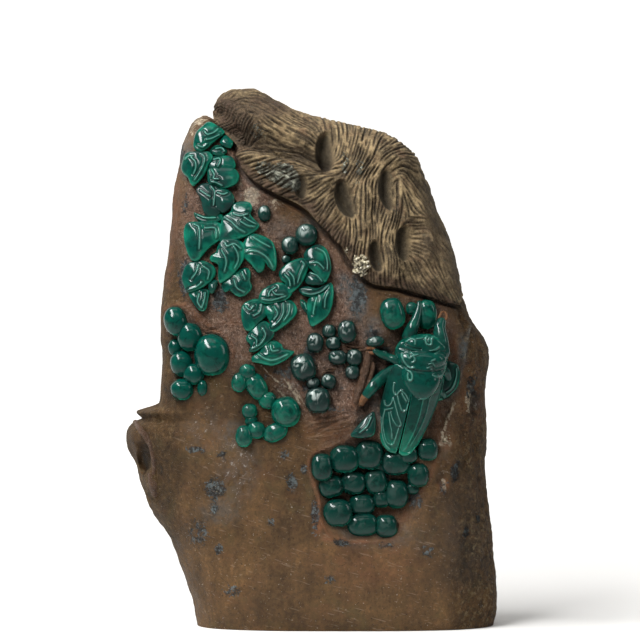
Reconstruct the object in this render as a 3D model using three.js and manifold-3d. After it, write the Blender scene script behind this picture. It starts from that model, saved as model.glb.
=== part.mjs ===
// A cicada among leaves and berries, carved from one boulder of green stone in its brown skin.
// Millimetres, +Z up. The carved face looks towards -Y, and the boulder stands on z = 0.
import * as THREE from "three";
import { mergeVertices } from "three/addons/utils/BufferGeometryUtils.js";
import Module from "manifold-3d";

const wasm = await Module();
wasm.setup();

// Facets. Each pair is the steps round a shape and the steps along it.
const BOULDER_STEPS = [38, 34];
const CROWN_STEPS = [24, 42];
const BERRY_STEPS = [7, 4];
const LEAF_STEPS = [12, 2];
const WING_STEPS = [2, 6];
const LIMB_SIDES = 5;
// How far thinning may shift the surface, the height under which a facet is a sliver, and the cosine of
// the most that a facet may turn.
const THINNING = 0.12;
const SLIVER = 0.02;
const STEEPEST_TURN = 0.5;

// The outline lies in this plane, and the carved face stands in front of it.
const MID_PLANE = 2;

// The boulder from its base to the tip of the thin fin beside the crown: height, left edge, right
// edge, depth in front of the middle plane, depth behind it, and how square the left edge is.
// Over 165 mm the right edge runs hidden under the crown.
const BOULDER = [
  [0, -59, 93, 41, 44, 3],
  [10, -60.5, 94.5, 43, 46, 3],
  [22, -64, 94, 44, 47, 3],
  [34, -69, 93, 44, 47, 2.8],
  [46, -74, 91.5, 44, 47, 2.7],
  [58, -82, 90.5, 44, 46.5, 2.7],
  [71, -88, 89.5, 44, 46, 2.8],
  [83, -91, 88.5, 44, 45, 3],
  [91, -94, 88.5, 44, 44.5, 3.2],
  [99, -95, 88.5, 44, 44, 3.4],
  [104, -93.5, 88.5, 44, 43.5, 3.6],
  [108.5, -91, 88.5, 44, 43, 3.8],
  [111, -83.5, 88.5, 44, 43, 4.4],
  [113, -78.5, 88.5, 44, 43, 5],
  [117, -77, 88.5, 44, 42, 5.4],
  [140.5, -76.5, 90, 43, 40, 5.6],
  [147, -77, 88, 42.5, 39, 5.6],
  [153, -77, 84, 42, 38, 5.6],
  [161, -77, 79.5, 41, 36, 5.6],
  [165, -76.5, 78, 40.5, 35, 5.6],
  [175, -75.5, 71, 39, 33, 5.6],
  [190, -73.5, 57, 37, 30, 5.4],
  [205, -71.5, 42, 35, 27, 5],
  [220, -70, 20, 32, 24, 4.6],
  [235, -68, -5, 28, 20, 4],
  [245, -66.5, -24, 24, 17, 3.6],
  [251.5, -64.5, -37, 19, 14, 3],
  [256, -63, -47, 14, 11, 2.6],
  [259.5, -60, -51, 9, 7, 2.4],
  [261, -57, -53.5, 4, 3, 2.2],
];
const RIGHT_SQUARENESS = 2.8;
const BACK_SQUARENESS = 2.5;
// The nearly level top of the branch stub draws the boulder's rows of facets towards it: its height,
// how far it draws them and how far that reaches, and the largest share of their distance.
const STUB_TOP = 111;
const STUB_DRAW = 8;
const STUB_REACH = 14;
const STUB_DRAW_SHARE = 0.6;
// How much closer the facets sit on the carved face than at the back.
const FACE_CROWDING = 0.5;
// The back is left rougher than the face.
const BACK_ROUGHNESS = 1.2;

// The crown of unpolished skin, from the notch at its left end to the right flank. Each row has the
// crack line's x and z, then the x and z of the outline above it.
const CROWN = [
  [-50, 257.5, -51.5, 263],
  [-44, 250.5, -48.5, 270],
  [-37.5, 243, -41.5, 275],
  [-35.5, 233.5, -31, 275.5],
  [-29, 226, -18.5, 269.5],
  [-18, 219.5, -6.5, 263],
  [-5, 213, 9, 259.5],
  [4.5, 203.5, 25.5, 255.5],
  [11, 191, 41, 250.5],
  [19, 182, 52.5, 242],
  [31, 174, 58.5, 229],
  [44, 172, 64, 214],
  [60, 167.5, 71.5, 194.5],
  [75.5, 163.5, 77.5, 169.5],
];
const CROWN_PROUD = 4.5;
const CROWN_SQUARENESS = 2.2;
const CROWN_BURIED = 5;
// The share of a crown loop's steps that climb the front, and the share that fall down the back. The
// rest run under it, inside the boulder.
const CROWN_FRONT_STEPS = 0.36;
const CROWN_BACK_STEPS = 0.25;

// Hollows: x, z, half width, half height and depth. Each set's floor is the inner share of the radius.
const CROWN_HOLLOWS = [
  [9, 243, 6, 8.5, 5],
  [-3.5, 222.5, 5, 5.5, 3.5],
  [18, 218, 5, 8.5, 4.5],
  [39.5, 222, 6.5, 10.5, 5],
  [46.5, 194, 6, 9.5, 5],
  [33.5, 187.5, 4, 7.5, 4],
  [-20, 232, 12, 6.5, 4.5],
];
const CROWN_FLOOR = 0.25;
const FACE_HOLLOWS = [
  [31, 71, 31, 28, 7],
  [53, 124, 25, 38, 6],
  [-60, 138, 19, 23, 3],
  [-23, 113, 17, 20, 2],
  [10, 134, 22, 24, 2],
  [-46, 222, 18, 34, 2.5],
  [-8, 168, 28, 34, 2],
  [-84.5, 85, 5, 9, 6],
];
const FACE_FLOOR = 0.5;

// Berries: x, z, half width, half height, and lean in degrees.
const BERRIES = {
  left: [
    [-68.5, 155, 5.6, 7, 15],
    [-61, 147.5, 6.2, 6.7, 0],
    [-49.7, 138, 8.7, 10, 8],
    [-69, 141.5, 3.2, 3.8, 0],
    [-65.2, 135.3, 5.3, 6.6, 10],
    [-58.5, 128.7, 5, 5.3, 0],
    [-65.2, 121.3, 5.7, 5.2, 0],
    [-54.6, 122, 2.3, 3.2, 0],
  ],
  middle: [
    [-36.7, 123.8, 4, 4.5, 0],
    [-31.8, 129.7, 3.9, 3.9, 0],
    [-28.7, 123, 5, 6.8, 30],
    [-22, 115.7, 4, 4, 0],
    [-12.5, 109.7, 7.2, 7.3, 0],
    [-18.5, 100.3, 5.6, 4.6, -30],
    [-31, 109.7, 3.9, 3.9, 0],
    [-28.3, 101.7, 4.3, 4.2, 0],
    [-34, 97.5, 4.2, 5.2, 0],
  ],
  small: [
    [17.4, 150, 4.6, 5.6, 0],
    [8.4, 150.7, 3, 3.3, 0],
    [1.3, 144.4, 4, 4.4, 0],
    [10.8, 144.2, 3.3, 3.1, 0],
    [13.3, 137, 4.5, 3.3, 0],
    [21.5, 137, 3.8, 3.9, 0],
    [20.4, 129.8, 3.5, 3.3, 0],
    [-4, 132, 5.7, 6.3, 20],
    [8.5, 124.7, 3.7, 3.7, 0],
    [0, 124.3, 3, 2.6, 0],
    [2.8, 116, 6.1, 6.2, 0],
  ],
  upper: [
    [-11, 193.5, 4.2, 4.3, 0],
    [-2.8, 198.8, 5.4, 5.3, 0],
    [-13, 186.5, 2.3, 2.2, 0],
    [-24, 209.7, 3.2, 4.1, 0],
  ],
  perch: [
    [40.5, 159, 6.2, 8, 10],
    [58, 157.5, 4.6, 6.6, 0],
    [49.2, 161.5, 2.6, 3, 0],
  ],
  lower: [
    [5, 82.5, 4.3, 6, 0],
    [15.5, 86.5, 6.7, 6.1, 0],
    [28.3, 89.5, 6.5, 7.2, 0],
    [42.3, 85, 6.8, 6, 0],
    [9, 72.5, 5.3, 5.1, 0],
    [19, 74.5, 5.5, 5.6, 0],
    [31.8, 74.5, 5, 6, 0],
    [42.3, 69, 5.3, 6.7, 0],
    [13.5, 59.2, 6.6, 6.7, 0],
    [25.5, 62.8, 5.4, 5, 0],
    [25.5, 52.2, 7, 5.8, 0],
    [37.2, 51.5, 5.3, 5.6, 0],
    [58.2, 90, 4.8, 5.3, 0],
    [53, 78, 4.9, 5.7, 0],
    [26, 102.5, 4.2, 5.8, -35],
  ],
};
// A berry's depth as a share of its smaller half size, how far its middle stands out, and how much
// its facets are pushed out to keep its size.
const BERRY_DEPTH = 0.95;
const BERRY_LIFT = 0.35;
const BERRY_ROUND = 1.06;

// Leaves: x, z, half length, half width, the way the tip points in degrees from +X, and how far the
// midrib bends to its left.
const LEAVES = [
  [-51.8, 248, 9.3, 6.4, 25, 1.2],
  [-42.8, 246, 3.6, 3.2, -20, 0],
  [-47, 240.5, 4.3, 3, 20, 0.5],
  [-57.5, 232, 8.9, 7.2, 255, 1.6],
  [-44.5, 234.5, 6.4, 4.4, 10, 0],
  [-44.5, 227.3, 7.6, 5.4, 330, -1],
  [-52.5, 219.7, 6.8, 4.6, 320, 0.8],
  [-43.5, 215.5, 6.6, 5.4, 280, 0],
  [-53.5, 212, 6.2, 3.4, 350, -0.8],
  [-54.7, 195.5, 9.4, 8.2, 262, 0],
  [-36, 205, 10, 7.6, -15, 1.4],
  [-41.5, 185, 10.8, 7.2, 250, 1.8],
  [-25, 189, 9.8, 7.6, 305, 1.6],
  [-55.8, 177.5, 8.4, 6.6, 235, 0.8],
  [-56.3, 166, 6.4, 4.8, 275, 0],
  [-49.7, 172.3, 4.2, 2, 245, 0],
  [-37, 174, 7.8, 6.2, 300, 1.2],
  [4.3, 185, 9.4, 5.8, 290, -1.4],
  [-9, 177, 9.6, 6.4, 248, 1.6],
  [0.8, 176.5, 5, 4, 200, 0],
  [2, 171, 8, 3.2, 10, 1.2],
  [4.5, 163.8, 10.6, 6.2, 245, 1],
  [-18, 169.3, 7.4, 5, 185, 1],
  [-29.5, 157, 7.2, 5.2, 250, 0.8],
  [-15.3, 158, 9, 6.8, 240, 1.6],
  [-26, 147, 8, 5, 240, 1],
  [-19, 139, 9.4, 5, 5, 1.8],
  [-15.5, 146.5, 3, 2.4, 300, 0],
  [-3.5, 162.5, 3.8, 2.2, 270, 0],
  [73.5, 132, 16, 5.5, 80, 0],
];
const LEAF_RISE = 3.4;
const LEAF_EDGE_RISE = 1.8;
const LEAF_ROOT = 3;
// How near its edge a leaf's upper ring of facets ends, and how much it narrows to its tip.
const LEAF_SHOULDER = 1.75;
const LEAF_TAPER = 0.5;

// The cicada, in its own frame: along its back towards the head, across to the right, and up off
// the stone. Body parts: along, across, up, then the three half sizes in the same order.
const CICADA = { x: 49.5, z: 118, lean: 13 };
const CICADA_BODY = {
  head: [25, 0, 8, 5.2, 10.5, 5.5],
  leftEye: [24.5, -10.2, 8, 3, 2.6, 3.2],
  rightEye: [24.5, 10.2, 8, 3, 2.6, 3.2],
  face: [29.2, 2.5, 8, 2.6, 2, 3],
  collar: [17.5, 0, 8, 6.2, 11.8, 7.4],
  back: [7, 0, 8.5, 11, 10, 8],
};
// The wings: share of the length from shoulder to tip, half width, height at the ridge, height at
// the outer edge.
const WING_FROM = 14;
const WING_TO = -31;
const WING = [
  [0, 9, 11, 7],
  [0.25, 11.8, 13.5, 6],
  [0.5, 12.2, 13, 5],
  [0.75, 10, 11, 4.2],
  [0.92, 6.6, 8.8, 4],
  [1, 3.2, 7.4, 4.4],
];
const WING_GAP = 0.35;
const WING_BULGE = 1.2;
// The left wing is seen more from above, so it is the wider one.
const WING_WIDER = 1.12;
const WING_ROOT = -6;
// Limbs: a run of points, each along, across, up and radius.
const LEGS = {
  leftFore: [[26, -8.5, 7, 3.4], [34, -7.8, 6, 2.6], [41.5, -6.5, 2.5, 1.6]],
  rightFore: [[22, 11, 6.5, 3.6], [31, 9.5, 6, 3], [42, 5.8, 3, 1.8]],
  leftMiddle: [[15.8, -10.5, 6, 2.5], [16.7, -19.8, 4.5, 1.9], [17.6, -26.5, 2.5, 1]],
  leftHind: [[11.4, -11.5, 5, 2.8], [2, -17.5, 3.5, 3.2], [-8.2, -22.2, 0.5, 1.8]],
  rightMiddle: [[17, 10.5, 5, 3], [16.5, 20, 1.5, 2.4]],
  rightHind: [[8, 10.5, 5, 2.8], [4.6, 20, 0.5, 1.8]],
};
// Brown stems left standing on the face: x, z, height off the face and radius.
const STEMS = {
  perch: [[27, 141.5, 0.5, 1.6], [26, 131, 0.8, 2], [21, 120.5, 0.6, 1.9], [14, 112, -0.5, 1.4]],
  twig: [[8, 141, 0, 0.9], [17, 141.5, 0.3, 0.9], [27, 141, 0.4, 1]],
};

const clamp01 = (t) => Math.min(1, Math.max(0, t));
const smooth = (t) => clamp01(t) ** 2 * (3 - 2 * clamp01(t));
const radians = THREE.MathUtils.degToRad;

// Reads one column of a table at a position in its first column, smoothly and without overshoot.
function reading(rows, at, column) {
  const last = rows.length - 1;
  const here = Math.min(rows[last][0], Math.max(rows[0][0], at));
  let i = 0;
  while (i < last - 1 && rows[i + 1][0] < here) i++;
  const slope = (k) => (rows[k + 1][column] - rows[k][column]) / (rows[k + 1][0] - rows[k][0]);
  const tangent = (k) => {
    if (k === 0 || k === last) return slope(Math.min(k, last - 1));
    const product = slope(k - 1) * slope(k);
    return product <= 0 ? 0 : (2 * product) / (slope(k - 1) + slope(k));
  };
  const span = rows[i + 1][0] - rows[i][0];
  const t = (here - rows[i][0]) / span;
  const rise = t * t * (3 - 2 * t);
  return (
    rows[i][column] * (1 - rise) +
    rows[i + 1][column] * rise +
    span * t * (1 - t) * ((1 - t) * tangent(i) - t * tangent(i + 1))
  );
}

// Slow swells of the stone's skin.
function swell(x, y, z) {
  return (
    Math.sin(0.115 * x + 0.07 * z) * Math.sin(0.09 * z - 0.05 * y + 1) +
    0.6 * Math.sin(0.23 * x - 0.16 * z + 0.1 * y) * Math.sin(0.19 * z + 0.12 * x + 2)
  );
}

// How deep a set of hollows cuts at a place.
function cutBy(hollows, floor, x, z) {
  const cuts = hollows.map(([centreX, centreZ, halfWide, halfHigh, depth]) => {
    const away = Math.hypot((x - centreX) / halfWide, (z - centreZ) / halfHigh);
    return depth * (1 - smooth((away - floor) / (1 - floor)));
  });
  return Math.max(...cuts);
}

// The boulder's section at a height.
function section(z) {
  const [left, right, front, back, leftSquareness] = [1, 2, 3, 4, 5].map((c) => reading(BOULDER, z, c));
  return { middle: (left + right) / 2, half: (right - left) / 2, front, back, leftSquareness };
}

// The y of the carved face at a place on it.
function faceAt(x, z) {
  const s = section(z);
  const across = Math.max(-1, Math.min(1, (x - s.middle) / s.half));
  const power = across < 0 ? s.leftSquareness : RIGHT_SQUARENESS;
  const depth = (1 - Math.abs(across) ** power) ** (1 / power);
  return frontOf(s, depth, x, z);
}

// The carved face's y where the section has a given share of its depth. Hollows fade towards the edges.
function frontOf(s, depth, x, z) {
  return MID_PLANE - s.front * depth + cutBy(FACE_HOLLOWS, FACE_FLOOR, x, z) * smooth(2 * depth);
}

// A closed three.js geometry with each vertex moved by a function, as a solid.
function solid(geometry, place) {
  geometry.deleteAttribute("normal");
  geometry.deleteAttribute("uv");
  const merged = mergeVertices(geometry, 1e-4);
  const points = merged.attributes.position;
  const point = new THREE.Vector3();
  for (let i = 0; i < points.count; i++) {
    point.fromBufferAttribute(points, i);
    points.setXYZ(i, ...place(point));
  }
  return new wasm.Manifold(
    new wasm.Mesh({
      numProp: 3,
      vertProperties: new Float32Array(points.array),
      triVerts: new Uint32Array(merged.index.array),
    }),
  );
}

// The boulder: a drum whose rows take their edges and depths from the table.
function boulder() {
  const [around, rows] = BOULDER_STEPS;
  const top = BOULDER[BOULDER.length - 1][0];
  return solid(new THREE.CylinderGeometry(1, 1, 1, around, rows), (p) => {
    const share = p.y + 0.5;
    const z = rowHeight(share * top);
    const s = section(z);
    const turn = Math.atan2(p.x, p.z);
    const angle = turn - FACE_CROWDING * Math.sin(turn);
    const [across, out] = [Math.sin(angle), Math.cos(angle)];
    const power = out < 0 ? BACK_SQUARENESS : across < 0 ? s.leftSquareness : RIGHT_SQUARENESS;
    const round = (Math.abs(across) ** power + Math.abs(out) ** power) ** (1 / power);
    const reach = Math.hypot(p.x, p.z) / round;
    const x = s.middle + s.half * across * reach;
    const depth = out * reach;
    if (depth > 0) return [x, frontOf(s, depth, x, z), z];
    const y = MID_PLANE - depth * s.back;
    const rough = share > 0 && share < 1 ? BACK_ROUGHNESS * swell(x, y, z) : 0;
    return [x, y - rough * depth, z];
  });
}

// Rows are evenly spaced, apart from those that the ledge draws near.
function rowHeight(even) {
  const away = even - STUB_TOP;
  const draw = STUB_DRAW * Math.exp(-((away / STUB_REACH) ** 2));
  return even - Math.sign(away) * Math.min(draw, STUB_DRAW_SHARE * Math.abs(away));
}

// The crown: loops from the crack over the outline to the back, strung from left to right.
function crown() {
  const [around, along] = CROWN_STEPS;
  const rows = CROWN.map((row, i) => [i / (CROWN.length - 1), ...row]);
  return solid(new THREE.CylinderGeometry(1, 1, 1, around, along), (p) => {
    const station = p.y + 0.5;
    const [crackX, crackZ, edgeX, edgeZ] = [1, 2, 3, 4].map((c) => reading(rows, station, c));
    const s = section(crackZ);
    const rim = faceAt(crackX, crackZ) - CROWN_PROUD;
    const rear = MID_PLANE + (MID_PLANE - rim) * (s.back / s.front) - CROWN_BURIED;
    const turn = Math.atan2(-p.z, p.x) / Math.PI;
    const centre = Math.hypot(p.x, p.z) < 0.5;
    return crownPoint({ crackX, crackZ, edgeX, edgeZ, rim, rear, turn, centre });
  });
}

// One point of a crown loop. Turn runs from 0 at the outline round the front to 1, and round the back
// to -1.
function crownPoint({ crackX, crackZ, edgeX, edgeZ, rim, rear, turn, centre }) {
  if (centre) return [(crackX + edgeX) / 2, (rim + rear) / 2, (crackZ + edgeZ) / 2];
  const lap = ((turn + 2) % 2) / 2;
  const isFront = lap <= CROWN_FRONT_STEPS;
  if (!isFront && lap < 1 - CROWN_BACK_STEPS) {
    const under = (lap - CROWN_FRONT_STEPS) / (1 - CROWN_BACK_STEPS - CROWN_FRONT_STEPS);
    return [crackX, rim + (rear - rim) * under, crackZ];
  }
  const climb = isFront ? lap / CROWN_FRONT_STEPS : (1 - lap) / CROWN_BACK_STEPS;
  const angle = (climb * Math.PI) / 2;
  const [over, out] = [Math.cos(angle), Math.sin(angle)];
  const round = (over ** CROWN_SQUARENESS + out ** CROWN_SQUARENESS) ** (1 / CROWN_SQUARENESS);
  const x = crackX + ((edgeX - crackX) * over) / round;
  const z = crackZ + ((edgeZ - crackZ) * over) / round;
  const y = MID_PLANE + (((isFront ? rim : rear) - MID_PLANE) * out) / round;
  if (!isFront) return [x, y, z];
  return [x, y + (cutBy(CROWN_HOLLOWS, CROWN_FLOOR, x, z) + swell(x, y, z)) * smooth((1.5 * out) / round), z];
}

function berry([x, z, halfWide, halfHigh, lean]) {
  const [around, down] = BERRY_STEPS;
  const deep = BERRY_DEPTH * Math.min(halfWide, halfHigh);
  const middle = faceAt(x, z) - BERRY_LIFT * deep;
  const [cos, sin] = [Math.cos(radians(lean)), Math.sin(radians(lean))];
  return solid(new THREE.SphereGeometry(1, around, down), (p) => {
    const [wide, high] = [p.x * halfWide * BERRY_ROUND, -p.z * halfHigh * BERRY_ROUND];
    return [x + wide * cos - high * sin, middle - p.y * deep, z + wide * sin + high * cos];
  });
}

// A leaf: a low cone with its apex drawn out into a midrib, and a foot that follows the outline from
// the round stalk end to the pointed tip.
function leaf([x, z, halfLong, halfWide, heading, bend]) {
  const [around, rings] = LEAF_STEPS;
  const [cos, sin] = [Math.cos(radians(heading)), Math.sin(radians(heading))];
  const ground = faceAt(x, z);
  return solid(new THREE.ConeGeometry(1, 1, around, rings), (p) => {
    const turn = Math.atan2(p.x, p.z);
    const root = p.y < -0.49;
    const spread = Math.min(1, Math.hypot(p.x, p.z) * LEAF_SHOULDER);
    const along = Math.cos(turn) * spread;
    const taper = 1 - LEAF_TAPER * Math.max(0, along) ** 2;
    const across = halfWide * Math.sin(turn) * spread * taper + bend * (1 - 2 * along * along);
    const px = x + halfLong * along * cos - across * sin;
    const pz = z + halfLong * along * sin + across * cos;
    const rib = (LEAF_RISE - LEAF_EDGE_RISE) * (1 - spread * Math.abs(Math.sin(turn))) ** 1.5;
    return [px, root ? ground + LEAF_ROOT : (ground + faceAt(px, pz)) / 2 - LEAF_EDGE_RISE - rib, pz];
  });
}

// A point of the cicada's frame on the stone.
function onCicada(along, across, up) {
  const [cos, sin] = [Math.cos(radians(CICADA.lean)), Math.sin(radians(CICADA.lean))];
  const ground = faceAt(CICADA.x, CICADA.z);
  return [CICADA.x + along * sin + across * cos, ground - up, CICADA.z + along * cos - across * sin];
}

function bodyPart([along, across, up, halfAlong, halfAcross, halfUp]) {
  return solid(new THREE.SphereGeometry(1, 10, 6), (p) =>
    onCicada(along - p.z * halfAlong, across + p.x * halfAcross, up + p.y * halfUp),
  );
}

// One wing: a slab from the ridge along the back down to the outer edge, rooted in the stone.
function wing(side) {
  const [across, along] = WING_STEPS;
  return solid(new THREE.BoxGeometry(1, 1, 1, across, 1, along), (p) => {
    const share = 0.5 + p.z;
    const out = side > 0 ? 0.5 + p.x : 0.5 - p.x;
    const [half, ridge, edge] = [1, 2, 3].map((c) => reading(WING, share, c));
    const top = ridge + (edge - ridge) * out + WING_BULGE * Math.sin(Math.PI * out);
    const from = WING_GAP * share;
    return onCicada(
      WING_FROM + (WING_TO - WING_FROM) * share,
      side * (from + (half * (side < 0 ? WING_WIDER : 1) - from) * out),
      p.y > 0 ? top : WING_ROOT,
    );
  });
}

// The way a three.js cylinder stands.
const AXLE = new THREE.Vector3(0, 1, 0);

// A run of tapering limbs with a ball at each joint.
function limbs(run, place) {
  const balls = run.map(([a, b, c, radius]) => {
    const centre = new THREE.Vector3(...place(a, b, c));
    return solid(new THREE.SphereGeometry(radius, LIMB_SIDES, 4), (p) => p.add(centre).toArray());
  });
  const shafts = run.slice(1).map((end, i) => {
    const from = new THREE.Vector3(...place(...run[i].slice(0, 3)));
    const to = new THREE.Vector3(...place(...end.slice(0, 3)));
    const way = to.clone().sub(from);
    const turn = new THREE.Quaternion().setFromUnitVectors(AXLE, way.clone().normalize());
    const middle = from.add(to).multiplyScalar(0.5);
    return solid(new THREE.CylinderGeometry(end[3], run[i][3], way.length(), LIMB_SIDES, 1), (p) =>
      p.applyQuaternion(turn).add(middle).toArray(),
    );
  });
  return [...balls, ...shafts];
}

const onFace = (x, z, up) => [x, faceAt(x, z) - up, z];

const carved = [
  boulder(),
  crown(),
  ...Object.values(BERRIES).flat().map(berry),
  ...LEAVES.map(leaf),
  ...Object.values(CICADA_BODY).map(bodyPart),
  wing(-1),
  wing(1),
  ...Object.values(LEGS).flatMap((run) => limbs(run, onCicada)),
  ...Object.values(STEMS).flatMap((run) => limbs(run, onFace)),
].reduce((whole, piece) => whole.add(piece));

// The joined mesh with its slivers closed and its flattest facets shared. A vertex moves onto its
// neighbour where that shifts the surface by less than the tolerance, leaves it one closed sheet and
// turns no facet over.
function thinned(made) {
  const { vertProperties, triVerts } = made.getMesh();
  const triple = (list, i) => [...list.subarray(3 * i, 3 * i + 3)];
  const triples = (list) => Array.from({ length: list.length / 3 }, (_, i) => triple(list, i));
  const points = triples(vertProperties).map((place) => new THREE.Vector3(...place));
  const faces = triples(triVerts);
  const touching = points.map(() => new Set());
  faces.forEach((face, f) => face.forEach((v) => touching[v].add(f)));
  const spent = points.map(() => 0);

  const planeOf = (face) => {
    const [a, b, c] = face.map((v) => points[v]);
    const normal = b.clone().sub(a).cross(c.clone().sub(a));
    const longest = Math.max(a.distanceTo(b), b.distanceTo(c), c.distanceTo(a));
    return normal.length() < SLIVER * longest ? null : normal.normalize();
  };
  const neighbours = (v) => new Set([...touching[v]].flatMap((f) => faces[f]).filter((w) => w !== v));
  const cost = (gone, kept) => {
    const around = neighbours(kept);
    if ([...neighbours(gone)].filter((v) => around.has(v)).length !== 2) return Infinity;
    const step = points[kept].clone().sub(points[gone]);
    let shift = 0;
    for (const f of touching[gone]) {
      const before = planeOf(faces[f]);
      shift = Math.max(shift, before ? Math.abs(before.dot(step)) : Math.min(step.length(), SLIVER));
      if (faces[f].includes(kept)) continue;
      const after = planeOf(faces[f].map((v) => (v === gone ? kept : v)));
      if (!after || (before && before.dot(after) < STEEPEST_TURN)) return Infinity;
    }
    return shift + spent[gone];
  };
  const close = (gone, kept) => {
    for (const f of touching[gone]) {
      const both = faces[f].includes(kept);
      if (both) faces[f].forEach((v) => v !== gone && touching[v].delete(f));
      faces[f] = both ? null : faces[f].map((v) => (v === gone ? kept : v));
      if (!both) touching[kept].add(f);
    }
    touching[gone].clear();
  };
  for (let limit = THINNING / 8; limit <= THINNING; limit *= 2) {
    for (let gone = 0; gone < points.length; gone++) {
      const offers = [...neighbours(gone)].map((kept) => [cost(gone, kept), kept]);
      const [best, kept] = offers.reduce((a, b) => (b[0] < a[0] ? b : a), [Infinity, -1]);
      if (best > limit) continue;
      spent[kept] = Math.max(spent[kept], best);
      close(gone, kept);
    }
  }
  const corners = faces.filter(Boolean).flat();
  const geometry = new THREE.BufferGeometry().setFromPoints(corners.map((v) => points[v]));
  geometry.computeVertexNormals();
  return geometry;
}

const stone = new THREE.MeshStandardMaterial({ color: 0x6b4f36, roughness: 0.55, metalness: 0 });
const carving = new THREE.Mesh(thinned(carved), stone);
carving.name = "carved_stone";

const group = new THREE.Group();
group.add(carving);
export default group;
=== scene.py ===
import math
import random

import bmesh
import bpy
import numpy as np
from mathutils import Matrix, Vector, noise


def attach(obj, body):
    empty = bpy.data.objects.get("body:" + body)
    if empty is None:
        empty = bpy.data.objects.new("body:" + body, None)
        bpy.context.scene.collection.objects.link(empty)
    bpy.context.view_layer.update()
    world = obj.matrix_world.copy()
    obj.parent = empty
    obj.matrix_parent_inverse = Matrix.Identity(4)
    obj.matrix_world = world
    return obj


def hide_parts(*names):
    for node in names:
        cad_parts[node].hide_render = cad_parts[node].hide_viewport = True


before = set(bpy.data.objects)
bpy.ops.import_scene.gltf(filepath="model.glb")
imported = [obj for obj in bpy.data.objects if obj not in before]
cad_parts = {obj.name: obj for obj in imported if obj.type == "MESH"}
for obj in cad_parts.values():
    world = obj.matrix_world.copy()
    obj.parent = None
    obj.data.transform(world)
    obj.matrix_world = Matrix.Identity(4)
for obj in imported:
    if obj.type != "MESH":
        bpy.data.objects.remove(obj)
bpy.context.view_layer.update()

bl_info = {
    "name": "Carved boulder with a cicada",
    "version": (1, 0, 0),
    "blender": (4, 5, 0),
    "location": "View3D > Sidebar > Carving",
    "description": "Builds a boulder carved with a cicada, leaves and berries in green stone",
    "category": "Object",
}

# All tables are in millimetres and degrees. +Z is up and the carved face looks towards -Y.
MM = 0.001
SOLID = "carved_stone"

# The outline lies in this plane, and the carved face stands in front of it.
MID_PLANE = 2

# The boulder from its base to the tip of the thin fin beside the crown: height, left edge, right
# edge, depth in front of the middle plane, depth behind it, and how square the left edge is.
BOULDER = [
    [0, -59, 93, 41, 44, 3],
    [10, -60.5, 94.5, 43, 46, 3],
    [22, -64, 94, 44, 47, 3],
    [34, -69, 93, 44, 47, 2.8],
    [46, -74, 91.5, 44, 47, 2.7],
    [58, -82, 90.5, 44, 46.5, 2.7],
    [71, -88, 89.5, 44, 46, 2.8],
    [83, -91, 88.5, 44, 45, 3],
    [91, -94, 88.5, 44, 44.5, 3.2],
    [99, -94.6, 88.5, 44, 44, 3.4],
    [103, -91.5, 88.5, 44, 43.6, 3.6],
    [105.6, -86.4, 88.5, 44, 43.2, 3.8],
    [109, -89.4, 88.5, 44, 43, 4],
    [111, -83.5, 88.5, 44, 43, 4.4],
    [113, -78.5, 88.5, 44, 43, 5],
    [117, -77, 88.5, 44, 42, 5.4],
    [140.5, -76.5, 90, 43, 40, 5.6],
    [147, -77, 88, 42.5, 39, 5.6],
    [153, -77, 84, 42, 38, 5.6],
    [161, -77, 79.5, 41, 36, 5.6],
    [165, -76.5, 78, 40.5, 35, 5.6],
    [175, -75.5, 71, 39, 33, 5.6],
    [190, -73.5, 57, 37, 30, 5.4],
    [205, -71.5, 42, 35, 27, 5],
    [220, -70, 20, 32, 24, 4.6],
    [235, -68, -5, 28, 20, 4],
    [245, -66.5, -24, 24, 17, 3.6],
    [251.5, -64.5, -37, 19, 14, 3],
    [256, -63, -47, 14, 11, 2.6],
    [259.5, -60, -51, 9, 7, 2.4],
    [261, -57, -53.5, 4, 3, 2.2],
]
RIGHT_SQUARENESS = 2.8
BACK_SQUARENESS = 2.5
# How many points the boulder's ball has round it and down it, and the shares of its fall that close
# the foot and the tip.
BOULDER_BALL = (330, 296)
FOOT_SHARE = 0.03
TIP_SHARE = 0.02
# Rows of points are drawn towards the top of the stub, and columns towards the front.
STUB_TOP = 111
STUB_DRAW = 8
STUB_REACH = 14
STUB_DRAW_SHARE = 0.6
FACE_CROWDING = 0.62
BACK_ROUGHNESS = 1.2
BOULDER_CREASE = 65
# Where the lumpy right flank starts, and over how many millimetres.
RIGHT_FLANK = 62
FLANK_SPAN = 14
# Lumps of the skin: height, size, share of z that counts (below 1 draws them out upwards), and seed.
# The slow ones stand as high as the skin's roughness, and the chisel's are on carved ground.
SLOW_LUMPS = [[1, 26, 1, 1], [0.5, 9, 1, 2]]
FINE_LUMPS = [[0.16, 3.2, 1, 3]]
CHISEL_LUMPS = [[0.4, 3.2, 1, 3], [0.6, 2.2, 0.45, 10]]
FLANK_LUMPS = [[1.3, 5, 0.35, 4], [0.6, 2.2, 1, 11]]
CROWN_LUMPS = [[0.7, 14, 1, 6], [0.45, 4, 1, 7], [0.26, 1.5, 1, 8]]
# How far in and out all of it may move the skin.
PUSH_LIMITS = (-3, 1.5)
# The rough sides: where each starts, over how many millimetres it grows (below 0 to the left), and
# its strength. Behind, the roughness has a strength of its own.
ROUGH_SIDES = [[66, 14, 1], [-64, -8, 0.6]]
ROUGH_BACK = 0.7
# Weathered patches behind: their size, which is also their seed, and their strength.
WEATHER = {"grey": (22, 0.6), "rust": (27, 0.5), "dark": (33, 0.4)}

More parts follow.
